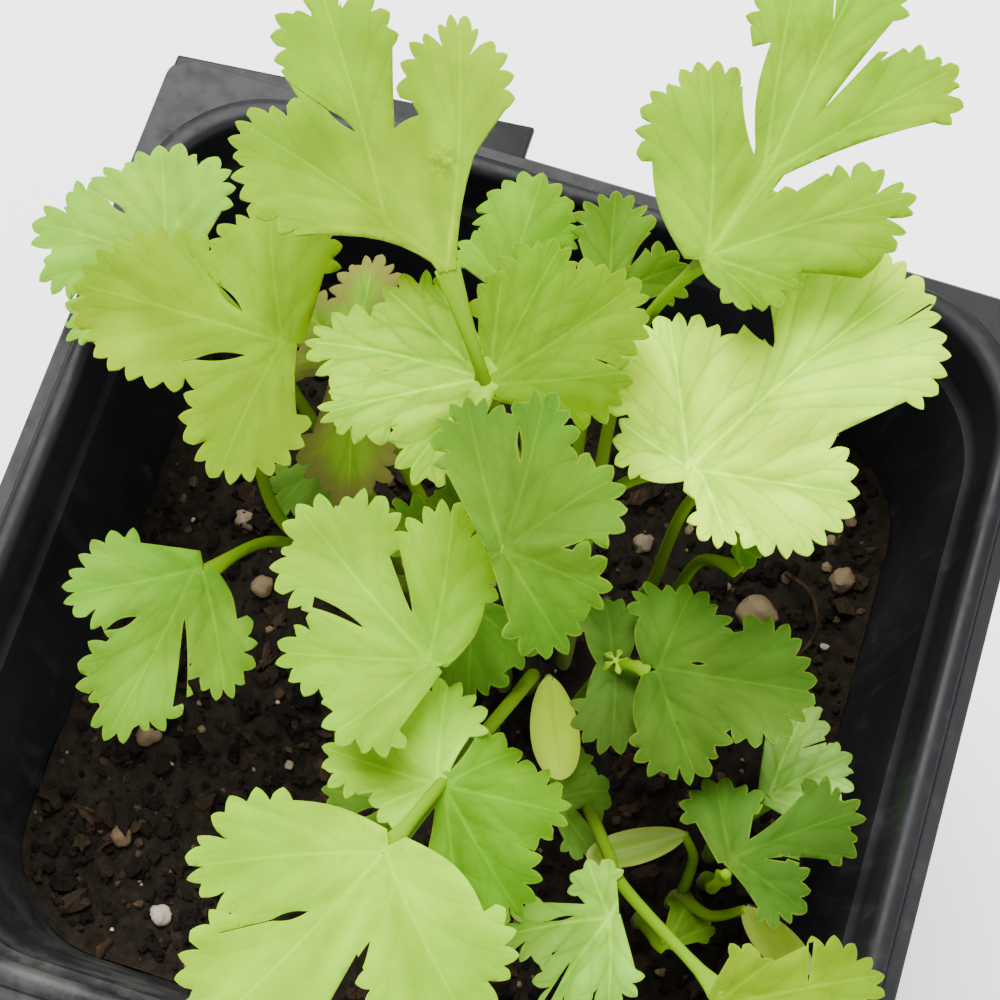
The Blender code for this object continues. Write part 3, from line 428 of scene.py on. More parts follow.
def leaf_finish(name, edge=(0.26, 0.38, 0.01), edge_share=0.22, edge_width=0.2):
    """Thin living leaf: green by light, hue and paleness, with painted shading of the pleats in bands that
    fan from the foot, fine bright ribs and darker side veins.
    """
    g = Graph(name)
    pale, veins, rib_gap = g.attribute("pale"), g.attribute("vein_strength"), g.attribute("rib")
    cloud = g.noise(130.0, 3.0)
    # Painted shading: the streak value lightens and darkens the green in bands fanning from the foot, in
    # place of the light and shade on the pleats between veins.
    value = g.times(g.attribute("light"), g.add(1.0, g.times(g.attribute("streak"), 0.26)))
    value = g.times(value, g.band(cloud, 0.3, 0.7, 0.84, 1.16))
    warmth = g.add(g.attribute("hue"), g.band(g.noise(75.0, 2.0), 0.35, 0.65, -0.15, 0.15))
    red = g.times(value, g.add(0.35, g.times(warmth, 0.26)))
    red = g.add(red, g.times(g.times(pale, value), 0.08))
    blue = g.times(g.times(value, pale), 0.13)
    green = g.node("ShaderNodeCombineColor", {"Red": red, "Green": value, "Blue": blue}).outputs["Color"]
    vein = g.band(g.attribute("vein"), 0.3, 3.4, 1.0, 0.0)
    green = g.tint(g.times(vein, g.times(veins, 0.65)), green, (0.60, 0.74, 0.35))
    beside = g.band(rib_gap, 1.0, 12.0, 1.0, 0.0)
    green = g.tint(g.times(beside, g.times(veins, 0.65)), green, (0.62, 0.80, 0.30))
    rib = g.band(rib_gap, 0.3, 1.7, 1.0, 0.0)
    green = g.tint(g.times(rib, g.add(0.3, g.times(veins, 0.5))), green, (1.75, 1.45, 1.6))
    net = g.band(g.cells(1500.0), 0.0, 0.07, 1.0, 0.0)
    green = g.tint(g.times(net, g.times(veins, 0.12)), green, (0.7, 0.75, 0.7))
    bruise = g.node("ShaderNodeVectorMath", {0: g.place(), 1: BRUISE}, operation="DISTANCE").outputs["Value"]
    bruise = g.times(g.band(bruise, 0.0004, 0.0022, 1.0, 0.0), g.band(g.noise(900.0, 3.0), 0.42, 0.55))
    green = g.mix(g.times(bruise, 0.6), green, (0.05, 0.08, 0.008))
    rim = g.band(g.attribute("rim"), 0.0, edge_width, 1.0, 0.0)
    green = g.mix(g.times(rim, edge_share), green, edge)
    green = g.mix(g.times(g.attribute("under"), 0.4), green, (0.20, 0.27, 0.09))
    relief = g.less(g.times(g.noise(1100.0, 3.0), 0.3), g.times(vein, 0.5))
    relief = g.less(relief, g.times(net, 0.25))
    return g.finish(green, g.band(cloud, 0.3, 0.7, 0.50, 0.62), relief, 0.4, 0.0001, 0.02)


def stalk_finish():
    g = Graph("stalk_green")
    green = g.ramp(g.attribute("along"), [(0.0, (0.20, 0.26, 0.07)), (0.3, (0.13, 0.23, 0.01)),
                                          (0.75, (0.10, 0.21, 0.0)), (1.0, (0.14, 0.28, 0.0))])
    green = g.mix(g.band(g.noise(160.0, 3.0), 0.45, 0.75, 0.0, 0.35), green, (0.08, 0.16, 0.0))
    ridges = g.noise(2600.0, 2.0, 0.5, (1.0, 1.0, 0.06))
    return g.finish(green, 0.42, ridges, 0.35, 0.0001, 0.06)


def seed_leaf_finish():
    g = Graph("seed_leaf_pale")
    cloud = g.noise(220.0, 3.0)
    colour = g.ramp(g.add(g.attribute("tone"), g.times(g.less(cloud, 0.5), 0.3)),
                    [(0.0, (0.10, 0.19, 0.01)), (0.5, (0.16, 0.25, 0.01)), (1.0, (0.42, 0.66, 0.01))])
    vein = g.band(g.attribute("vein"), 0.2, 2.0, 1.0, 0.0)
    colour = g.mix(g.times(vein, 0.3), colour, (0.26, 0.34, 0.05))
    rim = g.band(g.attribute("rim"), 0.0, 0.8, 1.0, 0.0)
    colour = g.mix(g.times(rim, 0.4), colour, (0.36, 0.40, 0.08))
    return g.finish(colour, 0.35, cloud, 0.2, 0.0003, 0.1)


def pot_finish():
    """Black moulded plastic: satin grain, dust low down, streaks, and smudges on the front."""
    g = Graph("black_plastic")
    streak = g.noise(420.0, 5.0, 0.5, (1.0, 1.0, 0.15))
    base = g.mix(g.noise(60.0), (0.006, 0.0063, 0.0070), (0.017, 0.0172, 0.0185))
    dust = g.band(g.noise(340.0, 6.0, 0.7), 0.52, 0.74)
    low = g.band(g.axis("Z"), 0.052, 0.066, 1.0, 0.12)
    base = g.mix(g.times(g.times(dust, low), 0.4), base, (0.05, 0.042, 0.033))
    base = g.mix(g.band(streak, 0.55, 0.8, 0.0, 0.25), base, (0.055, 0.057, 0.061))
    front = g.band(g.axis("Y"), -0.046, -0.028, 1.0, 0.0)
    smudge = g.times(front, g.band(g.noise(110.0, 5.0, 0.65), 0.4, 0.62))
    base = g.mix(g.times(smudge, 0.75), base, (0.055, 0.054, 0.051))
    rough = g.add(g.band(streak, 0.35, 0.7, 0.34, 0.48), g.times(dust, 0.18))
    relief = g.add(g.times(g.noise(2600.0, 2.0), 0.35), g.times(streak, 0.6))
    return g.finish(base, rough, relief, 0.25, 0.00012, 0.10)


def soil_finish():
    g = Graph("dark_compost")
    crumbs = g.noise(700.0, 8.0, 0.7)
    colour = g.ramp(crumbs, [(0.3, (0.0026, 0.0019, 0.0010)), (0.52, (0.0125, 0.0090, 0.0050)),
                             (0.75, (0.028, 0.019, 0.011))])
    damp = g.band(g.noise(90.0, 3.0), 0.4, 0.7, 0.65, 0.95)
    return g.finish(colour, damp, crumbs, 0.9, 0.0006, 0.12)


def crumb_finish():
    g = Graph("compost_crumbs")
    grain = g.noise(1500.0, 5.0, 0.7)
    colour = g.ramp(g.attribute("tone"), [(0.0, (0.0030, 0.0022, 0.0012)), (0.5, (0.0125, 0.0088, 0.0050)),
                                          (0.8, (0.036, 0.023, 0.012)), (1.0, (0.14, 0.090, 0.045))])
    colour = g.mix(g.band(grain, 0.35, 0.65, 0.45, 0.0), colour, (0.006, 0.004, 0.003))
    return g.finish(colour, 0.85, grain, 0.9, 0.0004, 0.12)


def grit_finish():
    g = Graph("pale_grit")
    grain = g.noise(900.0, 5.0, 0.65)
    colour = g.ramp(g.attribute("tone"), [(0.0, (0.09, 0.055, 0.028)), (0.5, (0.20, 0.145, 0.078)),
                                          (1.0, (0.42, 0.38, 0.30))])
    colour = g.mix(g.band(grain, 0.4, 0.7, 0.0, 0.5), colour, (0.12, 0.08, 0.05))
    return g.finish(colour, 0.75, grain, 0.6, 0.0003, 0.15)


def bark_finish():
    g = Graph("bark_chip")
    grain = g.noise(1300.0, 6.0, 0.5, (1.0, 0.25, 1.0))
    colour = g.ramp(grain, [(0.3, (0.007, 0.004, 0.002)), (0.6, (0.034, 0.020, 0.010)),
                            (0.8, (0.09, 0.055, 0.030))])
    return g.finish(colour, 0.8, grain, 0.8, 0.0004, 0.1)


def floor_finish():
    g = Graph("pale_floor")
    return g.finish(g.mix(g.noise(6.0, 3.0), (0.93, 0.93, 0.93), (0.97, 0.97, 0.97)), 0.9)


def deselect():
    if bpy.context.mode != "OBJECT":
        bpy.ops.object.mode_set(mode="OBJECT")
    bpy.ops.object.select_all(action="DESELECT")


def pick(piece):
    deselect()
    piece.select_set(True)
    bpy.context.view_layer.objects.active = piece


def edit_all():
    bpy.ops.object.mode_set(mode="EDIT")
    bpy.ops.mesh.select_all(action="SELECT")


def settle(piece, finish, node, angle):
    """Apply place, shade, dress and fasten a finished piece."""
    pick(piece)
    bpy.ops.object.transform_apply(location=True, rotation=True, scale=True)
    bpy.ops.object.shade_smooth_by_angle(angle=math.radians(angle))
    piece.data.materials.clear()
    piece.data.materials.append(finish)
    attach(piece, "root")
    if node:
        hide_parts(node)


def boolean(piece, other, operation):
    modifier = piece.modifiers.new("cut", "BOOLEAN")
    modifier.object = other
    modifier.operation = operation
    modifier.solver = "EXACT"
    pick(piece)
    bpy.ops.object.modifier_apply(modifier=modifier.name)
    bpy.data.objects.remove(other, do_unlink=True)


def mesh_piece(name, points, faces):
    mesh = bpy.data.meshes.new(name)
    mesh.from_pydata([tuple(p) for p in points], [], [tuple(f) for f in faces])
    mesh.update()
    piece = bpy.data.objects.new(name, mesh)
    bpy.context.scene.collection.objects.link(piece)
    return piece


def point_values(piece, name, values):
    layer = piece.data.attributes.new(name, "FLOAT", "POINT")
    layer.data.foreach_set("value", np.asarray(values, np.float32))


# The pot


def inner_half(z):
    return BEAD_INNER_HALF - WALL_TAPER * (POT_HEIGHT - z)


def round_plate(name, half, corner, z):
    """A flat square plate with round corners, from a plane with its corners bevelled."""
    deselect()
    bpy.ops.mesh.primitive_plane_add(size=2 * half * MM, location=(0, 0, z * MM))
    plate = bpy.context.object
    plate.name = name
    edit_all()
    bpy.ops.mesh.bevel(offset=corner * MM, segments=POT_CORNER_SEGMENTS, affect="VERTICES", profile=0.5)
    return plate


def extrude_to(sections):
    """Extrude the selected plate through (half width, height) sections, the first being where it is."""
    for (half, z), (next_half, next_z) in zip(sections, sections[1:]):
        bpy.ops.mesh.extrude_region_move(TRANSFORM_OT_translate={"value": (0, 0, (next_z - z) * MM)})
        ratio = next_half / half
        bpy.ops.transform.resize(value=(ratio, ratio, 1))


def outward(piece):
    pick(piece)
    edit_all()
    bpy.ops.mesh.normals_make_consistent(inside=False)
    bpy.ops.object.mode_set(mode="OBJECT")


def make_body(top, lip, ledge):
    """The walls and floor, drawn up the outside, over the bead and down the inside."""
    above_ledge = inner_half(ledge) + LEDGE_WIDTH
    foot = inner_half(0) + WALL_THICK - FOOT_INSET
    outer, inner = BEAD_OUTER_HALF, BEAD_INNER_HALF
    body = round_plate("pot_shell", foot, foot * CORNER_SHARE, 0.0)
    extrude_to([
        (foot, 0.0), (foot + 0.8, 0.25), (foot + FOOT_INSET, 1.0),
        (inner_half(ledge - 2.2) + WALL_THICK, ledge - 2.2),
        (above_ledge + WALL_THICK - 0.2, ledge - 0.4), (above_ledge + WALL_THICK, ledge),
        (inner + WALL_THICK, lip - LIP_THICK - 0.6), (outer + 0.1, lip - LIP_THICK + 0.3),
        (outer + 0.1, lip + 0.1), (outer - 0.1, top - 0.5), (outer - 0.4, top - 0.18),
        (outer - 0.8, top - 0.03), (outer - 1.2, top), (outer - 1.6, top - 0.05),
        (inner + 0.35, top - 0.22), (inner + 0.1, top - 0.55), (inner, top - 1.1),
        (above_ledge + 0.05, ledge + 0.6), (above_ledge - 0.1, ledge + 0.15),
        (above_ledge - 0.35, ledge - 0.1), (inner_half(ledge - 0.8) + 0.1, ledge - 0.35),
        (inner_half(ledge - 1.2), ledge - 0.9),
        (inner_half(FLOOR_THICK + 2.0), FLOOR_THICK + 2.0),
        (inner_half(FLOOR_THICK) - 0.5, FLOOR_THICK + 0.5), (inner_half(FLOOR_THICK) - 2.0, FLOOR_THICK),
    ])
    outward(body)
    return body


def make_tab(lip):
    """The strip of web on the back of the lip, tapered towards its left end."""
    deselect()
    bpy.ops.mesh.primitive_cube_add(size=1)
    tab = bpy.context.object
    left, right = -LIP_HALF + TAB_INSET, TAB_END_X
    inner_y, outer_y = LIP_HALF - TAB_OVERLAP, LIP_HALF + TAB_WIDTH
    tab.scale = ((right - left) * MM, (outer_y - inner_y) * MM, (LIP_THICK - 0.06) * MM)
    tab.location = ((left + right) / 2 * MM, (inner_y + outer_y) / 2 * MM, (lip - LIP_THICK / 2 - 0.03) * MM)
    bpy.ops.object.transform_apply(location=True, rotation=True, scale=True)
    bpy.ops.object.mode_set(mode="EDIT")
    bpy.ops.mesh.bevel(offset=0.0003, segments=2)
    bpy.ops.object.mode_set(mode="OBJECT")
    for vertex in tab.data.vertices:
        if vertex.co.x < left * MM + 0.001 and vertex.co.y > LIP_HALF * MM:
            vertex.co.y -= (TAB_WIDTH - 0.1) * MM
    return tab


def make_pot(finish):
    lip = POT_HEIGHT - LIP_DROP
    under_lip = lip - LIP_THICK
    body = make_body(POT_HEIGHT, lip, POT_HEIGHT - LEDGE_DEPTH)
    plate = round_plate("lip_plate", LIP_HALF, LIP_CORNER, under_lip)
    extrude_to([(LIP_HALF, under_lip), (LIP_HALF, lip - 0.25), (LIP_HALF - 0.25, lip)])
    outward(plate)
    boolean(plate, make_tab(lip), "UNION")
    hole = round_plate("lip_hole", LIP_HOLE_HALF, LIP_HOLE_HALF * CORNER_SHARE, under_lip - 2)
    extrude_to([(LIP_HOLE_HALF, 0), (LIP_HOLE_HALF, 6)])
    outward(hole)
    boolean(plate, hole, "DIFFERENCE")
    boolean(body, plate, "UNION")
    for x, y in DRAIN_PLACES:
        deselect()
        bpy.ops.mesh.primitive_cylinder_add(vertices=40, radius=DRAIN_RADIUS * MM, depth=8 * MM,
                                            location=(x * MM, y * MM, 0))
        boolean(body, bpy.context.object, "DIFFERENCE")
    body.data.name = "pot_shell"
    settle(body, finish, "pot", 32)


# The soil


def soil_level(x, y):
    broad = noise.noise(Vector((x / 16, y / 16, 3.1)))
    clods = noise.noise(Vector((x / 5.5, y / 5.5, 8.4)))
    return SOIL_TOP + SOIL_RELIEF * (0.8 * broad + 0.7 * clods)


def crumbly_level(x, y):
    fine = noise.noise(Vector((x / 1.7, y / 1.7, 5.0)))
    grain = noise.noise(Vector((x / 0.8, y / 0.8, 1.0)))
    return soil_level(x, y) + 0.55 * fine + 0.25 * grain


def make_soil(finish):
    """A block of compost with a crumbly top, from a gridded plate sunk to the pot's floor."""
    half = inner_half(SOIL_TOP + SOIL_RELIEF) - SOIL_GAP
    cells = int(2 * half / SOIL_CELL)
    deselect()
    bpy.ops.mesh.primitive_grid_add(x_subdivisions=cells, y_subdivisions=cells, size=2 * half * MM)
    soil = bpy.context.object
    soil.name = "soil_block"
    flat = half * (1 - CORNER_SHARE)
    for vertex in soil.data.vertices:
        x, y = vertex.co.x / MM, vertex.co.y / MM
        dx, dy = abs(x) - flat, abs(y) - flat
        if dx > 0 and dy > 0:
            pull = max(dx, dy) / math.hypot(dx, dy)
            x = math.copysign(flat + dx * pull, x)
            y = math.copysign(flat + dy * pull, y)
        vertex.co = Vector((x, y, crumbly_level(x, y))) * MM
    pick(soil)
    edit_all()
    bpy.ops.mesh.region_to_loop()
    skirt_half = inner_half(SOIL_TOP - SOIL_SKIRT) - SOIL_GAP
    side = SOIL_TOP - SOIL_SKIRT - SOIL_FOOT - FLOOR_THICK
    for drop, ratio, level in ((SOIL_SKIRT, skirt_half / half, 0.0),
                               (side, (inner_half(FLOOR_THICK) - 1.5) / skirt_half, 1)):
        bpy.ops.mesh.extrude_edges_move(TRANSFORM_OT_translate={"value": (0, 0, -drop * MM)})
        bpy.ops.transform.resize(value=(ratio, ratio, level))
    bpy.ops.mesh.edge_face_add()
    bpy.ops.object.mode_set(mode="OBJECT")
    outward(soil)
    settle(soil, finish, "soil", 60)


def ball(subdivisions):
    made = bmesh.new()
    bmesh.ops.create_icosphere(made, subdivisions=subdivisions, radius=1.0)
    points = np.array([v.co for v in made.verts])
    faces = np.array([[v.index for v in f.verts] for f in made.faces])
    made.free()
    return points, faces


def scatter(name, rows, subdivisions, finish, rough, smooth_angle=30.0):
    """One piece of many lumps: rows of place, radii along x, y and z, turn and tone."""
    base, faces = ball(subdivisions)
    points, polygons, tones = [], [], []
    for index, (place, radii, turn, tone) in enumerate(rows):
        lump = base.copy()
        for k, p in enumerate(base):
            lump[k] *= 1 + rough * noise.noise(Vector(p) * 1.3 + Vector((index * 3.7, index * 1.3, 0)))
            lump[k] *= 1 + rough * 0.5 * noise.noise(Vector(p) * 4.1 + Vector((index * 2.3, 0, index)))
        spin = np.array(Matrix.Rotation(turn, 3, "Z") @ Matrix.Rotation(math.sin(index) * 0.5, 3, "X"))
        points.append(lump * np.array(radii) @ spin.T + np.array(place))
        polygons.append(faces + len(base) * index)
        tones += [tone] * len(base)
    piece = mesh_piece(name, np.vstack(points) * MM, np.vstack(polygons))
    point_values(piece, "tone", tones)
    settle(piece, finish, None, smooth_angle)


# Place, radius and tone of the pebbles
PEBBLES = [
    (27.6, 16.4, 2.3, 0.5), (-19.1, 36.8, 1.7, 0.25), (-22.8, -33.6, 1.2, 0.95), (13.6, 20.5, 1.2, 0.6),
    (35.6, 22.8, 1.5, 0.45), (-24.5, 3.0, 1.3, 0.5), (-30.5, -16.0, 1.5, 0.3), (-28.6, 9.5, 1.2, 0.6),
    (12.0, 8.5, 1.1, 0.5), (33.0, 8.0, 1.0, 0.35), (-35.0, -9.0, 1.0, 0.4), (-29.5, -27.0, 1.3, 0.2),
]


def free_soil(x, y, margin):
    """Whether a spot on the soil is clear of the pot's wall and of every stalk."""
    half = inner_half(SOIL_TOP) - SOIL_GAP - margin
    corner = half * CORNER_SHARE
    dx, dy = abs(x) - (half - corner), abs(y) - (half - corner)
    if math.hypot(max(dx, 0), max(dy, 0)) >= corner or abs(x) >= half or abs(y) >= half:
        return False
    stalks = [row[0] for row in (*FRONDS.values(), *SEEDLINGS.values())]
    return all(math.hypot(x - a, y - b) > margin + STALK_CLEARANCE for a, b in stalks)


def lump_rows(draw, count, low, high, tones):
    found = []
    while len(found) < count:
        x, y = draw.uniform(-40, 40), draw.uniform(-40, 40)
        size = low + (high - low) * draw.random() ** 2.5
        if free_soil(x, y, size):
            radii = (size * draw.uniform(0.75, 1.25), size * draw.uniform(0.7, 1.1), size * LUMP_FLATNESS)
            found.append(((x, y, crumbly_level(x, y) + size * LUMP_SINK), radii,
                          draw.uniform(0, 6.28), draw.uniform(*tones) ** 1.3))
    return found


def make_crumbs(crumb, grit, bark):
    draw = random.Random(11)
    scatter("soil_crumbs", lump_rows(draw, 2400, 0.25, 0.7, (0.05, 0.97)), 1, crumb, 0.6)
    scatter("soil_clods", lump_rows(draw, 600, 0.6, 1.5, (0.0, 0.85)), 2, crumb, 0.8)
    scatter("soil_grit", lump_rows(draw, 150, 0.2, 0.75, (0.1, 1.0)), 2, grit, 0.35)
    stones = [((x, y, soil_level(x, y) + size * 0.35), (size, size * 0.85, size * 0.8), x, tone)
              for x, y, size, tone in PEBBLES]
    scatter("soil_pebbles", stones, 3, grit, 0.3, 60)
    chips = [((x, y, z + 0.2), (length * 1.5, breadth * 0.7, 0.22), turn, 0)
             for (x, y, z), (length, breadth, _), turn, _ in lump_rows(draw, 90, 0.5, 1.4, (0, 1))]
    scatter("soil_bark", chips, 2, bark, 0.9)


# Stalks


def smooth_path(points, steps):
    ends = [points[0]] + points + [points[-1]]
    path = []
    for a, b, c, d in zip(ends, ends[1:], ends[2:], ends[3:]):
        for step in range(steps):
            u = step / steps
            path.append(0.5 * ((2 * b) + (c - a) * u + (2 * a - 5 * b + 4 * c - d) * u * u
                               + (3 * b - a - 3 * c + d) * u ** 3))
    return path + [points[-1]]


def tube(path, radii, sides=12, winged=0.0):
    """Points, faces and shares along a closed round tube that can widen and flatten at its end."""
    points, faces, shares = [], [], []
    left = [0.0]
    for a, b in zip(reversed(path), reversed(path[:-1])):
        left.insert(0, left[0] + (a - b).length)
    count = len(path)
    side = None
    for index, place in enumerate(path):
        ahead = (path[min(index + 1, count - 1)] - path[max(index - 1, 0)]).normalized()
        if side is None:
            side = ahead.orthogonal().normalized()
        side = (side - ahead * side.dot(ahead)).normalized()
        other = ahead.cross(side)
        across = ahead.cross(Vector((0, 0, 1)))
        spread = (1 - left[index] / winged) ** 1.5 if left[index] < winged and across.length > 0.2 else 0.0
        across.normalize()
        end = 0.1 if winged and index == count - 1 else 1.0
        for k in range(sides):
            angle = 2 * math.pi * k / sides
            out = (side * math.cos(angle) + other * math.sin(angle)) * radii[index]
            flat = across * out.dot(across)
            out = flat * (1 + WING_SPREAD * spread) + (out - flat) * (1 - WING_FLATNESS * spread)
            points.append(place + out * end)
            shares.append(index / (count - 1))
    for index in range(count - 1):
        for k in range(sides):
            a, b = index * sides + k, index * sides + (k + 1) % sides
            faces.append((a, b, b + sides, a + sides))
    faces.append(tuple(reversed(range(sides))))
    faces.append(tuple(range((count - 1) * sides, count * sides)))
    return points, faces, shares


def stalk_radii(count, root, tip):
    """Radii that taper from root to tip, with a swelling just above the soil."""
    radii = []
    for index in range(count):
        share = index / (count - 1)
        swell = STALK_SWELL * math.exp(-((share - 0.12) / 0.08) ** 2)
        radii.append(root + (tip - root) * share + swell)
    return radii


def stalk_path(root, via):
    base = Vector((*root, SOIL_TOP - ROOT_DEPTH))
    bend = Vector((*root, SOIL_TOP + STALK_STRAIGHT))
    return [base] + smooth_path([bend] + [Vector(point) for point in via], STALK_STEPS)


# Blades


def form_outline(form):
    """A fan that widens from its foot to a round crown cut into lobules and pointed teeth."""
    middle = form.reach * form.middle
    crown = form.reach - middle
    half = form.breadth / 2
    sweep = math.radians(form.turn)
    arc = 2 * sweep * math.sqrt((crown ** 2 + half ** 2) / 2)
    teeth = max(LEAST_TEETH, round(arc / TOOTH_PITCH))
    lobules = 3 if arc < WIDE_ARC else 5
    steps = teeth * POINTS_PER_TOOTH
    toothed = form.turn > WEB_TURN
    crown_line, tips = [], []
    for step in range(steps + 1):
        share = step / steps
        shift = 0.011 * math.sin(7 * share + form.heading) * math.sin(math.pi * share)
        angle = sweep * (2 * (share + shift) - 1)
        place = share * teeth
        away = abs(2 * (place % 1) - 1)
        bump = 1 - 0.5 * away ** 2.1 - 0.5 * away
        uneven = 1 + 0.3 * math.sin(2.4 * math.floor(place) + form.heading) + 0.15 * (-1) ** math.floor(place)
        scallop = (1 - abs(math.sin(lobules * math.pi * share))) ** 2 * math.sin(math.pi * share)
        depth = TOOTH_DEPTH * uneven * (1 - bump) + form.cleft * crown * scallop
        depth *= min(1.0, form.reach / 9, form.breadth / 7) if toothed else 0.0
        crown_line.append((middle + (crown - depth) * math.cos(angle), (half - depth) * math.sin(angle)))
        if toothed and step % POINTS_PER_TOOTH == POINTS_PER_TOOTH // 2:
            tips.append(crown_line[-1])
    neck = half * LOBE_NECK / (1 + 2 * max(form.hollow, 0.0))
    local = side_line((LOBE_FOOT, -neck), crown_line[0], form.hollow)
    local += crown_line
    local += reversed(side_line((LOBE_FOOT, neck), crown_line[-1], -form.hollow))
    return moved(local, form), tips


def side_line(foot, end, hollow):
    """Points from the foot towards the crown along a side that is hollowed or swollen."""
    return [(foot[0] + (end[0] - foot[0]) * share,
             foot[1] + (end[1] - foot[1]) * share + hollow * math.sin(math.pi * share))
            for share in (step / SIDE_STEPS for step in range(SIDE_STEPS))]


def moved(local, shape):
    """Points turned to a shape's heading and moved to its foot."""
    place = Vector((shape.x, shape.y))
    return [place + point for point in turned(local, shape.heading)]


def turned(local, heading):
    c, d = math.cos(math.radians(heading)), math.sin(math.radians(heading))
    return [Vector((s * c - t * d, s * d + t * c)) for s, t in local]


def turn_between(a, b):
    return (a - b + 180) % 360 - 180


def gap_outline(gap):
    """A narrow gap: open near its foot, then nearly closed where the two lobes touch."""
    local = []
    for side in (-1, 1):
        for step in range(GAP_STEPS + 1):
            share = step / GAP_STEPS if side < 0 else 1 - step / GAP_STEPS
            if side > 0 and step in (0, GAP_STEPS):
                continue
            gape = math.sin(math.pi * min(1.0, share / (gap.open + 0.001))) if gap.open < 1 else share ** 0.6
            half = max(gap.width / 2 * max(gape, 0.0), SLIT_HAIR if share > 0.04 else 0.0)
            local.append((gap.length * share, side * half + gap.bow * math.sin(3 * share)))
    return moved(local, gap)


def between_lobes(first, second):
    """The gap that parts two neighbouring lobes, when none is listed."""
    heading_a, reach_a, breadth_a = first[:3]
    heading_b, reach_b, breadth_b = second[:3]
    share = (breadth_a / reach_a) / (breadth_a / reach_a + breadth_b / reach_b)
    heading = heading_a + turn_between(heading_b, heading_a) * share
    start = SLIT_START * min(reach_a, reach_b)
    away = turned([(start, 0)], heading)[0]
    return (away.x, away.y, heading, 1.1 * max(reach_a, reach_b) - start, SLIT_WIDTH, SLIT_CLOSED,
            SLIT_BOW * (reach_a - reach_b + 4))


def default_gaps(lobes):
    ordered = sorted(lobes, key=lambda lobe: (lobe[0] - lobes[0][0] + 180) % 360)
    return [between_lobes(a, b) for a, b in zip(ordered, ordered[1:])
            if turn_between(b[0], a[0]) < SLIT_LIMIT and max(a[1], b[1]) > SLIT_LEAST_REACH]


def blade_outlines(lobes, forms, gaps):
    """Outlines, gaps and veins of one blade, from its own forms or straight from its lobes."""
    if forms is None:
        forms = [(heading, reach, breadth, cleft, LOBE_MIDDLE, LOBE_TURN)
                 for heading, reach, breadth, _, cleft in lobes]
        gaps = default_gaps(lobes)
    outlines, lines = [], []
    for form in (Form(*row) for row in forms):
        outline, tips = form_outline(form)
        outlines.append(outline)
        lines += vein_lines(form, tips)
    return outlines, [gap_outline(Gap(*row)) for row in gaps], lines


def curved(start, bend, end):
    """Points along a quadratic curve."""
    steps = max(3, int(math.hypot(end[0] - start[0], end[1] - start[1]) / VEIN_STEP))
    return [tuple((1 - u) ** 2 * p + 2 * u * (1 - u) * q + u * u * r for p, q, r in zip(start, bend, end))
            for u in (k / steps for k in range(steps + 1))]


def vein_lines(form, tips):
    """The form's midrib and its side veins: lines of points, half widths, and whether it is a rib."""
    if form.turn <= WEB_TURN:
        return []
    reach = form.reach
    sway = 0.02 * reach * math.sin(form.heading)
    count = max(6, int(reach / VEIN_STEP))
    rib = [(reach * VEIN_REACH * k / count, sway * math.sin(math.pi * k / count)) for k in range(count + 1)]
    found = [(rib, *RIB_WIDTHS, True)]
    least = 0.06 * form.breadth
    for side in ([tip for tip in tips if tip[1] > least], [tip for tip in reversed(tips) if tip[1] < -least]):
        for first, second in zip(side[::2], side[1::2] + side[-1:]):
            s, t = (first[0] + second[0]) / 2, (first[1] + second[1]) / 2
            branch = min(max(0.6 * (s - 0.9 * abs(t)), 0.06 * reach), 0.7 * reach)
            start = (branch, sway * math.sin(math.pi * branch / reach))
            fork = (branch + 0.62 * (s - branch), 0.56 * t)
            bend = (branch + 0.34 * (s - branch), 0.2 * t)
            found.append((curved(start, bend, fork), *BRANCH_WIDTHS, False))
            for end in {first, second}:
                near = tuple(p + VEIN_REACH * (q - p) for p, q in zip(fork, end))
                bend = ((fork[0] + near[0]) / 2, (fork[1] + near[1]) / 2 - 0.06 * t)
                found.append((curved(fork, bend, near), *FORK_WIDTHS, False))
    lines = [(moved(line, form), wide, narrow, main) for line, wide, narrow, main in found]
    place = Vector((form.x, form.y))
    if place.length > 0.5:
        steps = max(3, int(place.length / VEIN_STEP))
        lines.append(([place * (k / steps) for k in range(steps + 1)], RIB_WIDTHS[0], RIB_WIDTHS[0], True))
    return lines


def blade_height(x, y, lobes, phase):
    """How far the blade's surface lies above its foot, for arrays of points."""
    far = np.hypot(x, y)
    here = np.degrees(np.arctan2(y, x))
    total = np.zeros_like(far)
    weight_sum = np.zeros_like(far)
    for heading, reach, breadth, rise, *_ in lobes:
        off = turn_between(here, heading)
        weight = np.exp(-(off / LOBE_SPREAD) ** 2) + 1e-6
        along = np.maximum(0.0, far * np.cos(np.radians(off))) / reach
        across = far * np.sin(np.radians(off))
        value = rise * along ** 1.4 + FOLD * across * across / breadth * 2 - CURL * along ** 4
        value += CREASE * (np.sqrt(across * across + 0.5) - 0.7)
        value += RIPPLE * along ** 2 * np.sin(np.radians(4 * here) + phase)
        total += weight * value
        weight_sum += weight
    return np.where(far < 1e-6, 0.0, total / weight_sum)


def gaps_to(points, others):
    """Distance from each point to the nearest of the others."""
    best = np.full(len(points), 1e9)
    for start in range(0, len(others), 64):
        block = others[start:start + 64]
        gap = np.hypot(points[:, None, 0] - block[None, :, 0], points[:, None, 1] - block[None, :, 1])
        best = np.minimum(best, gap.min(1))
    return best


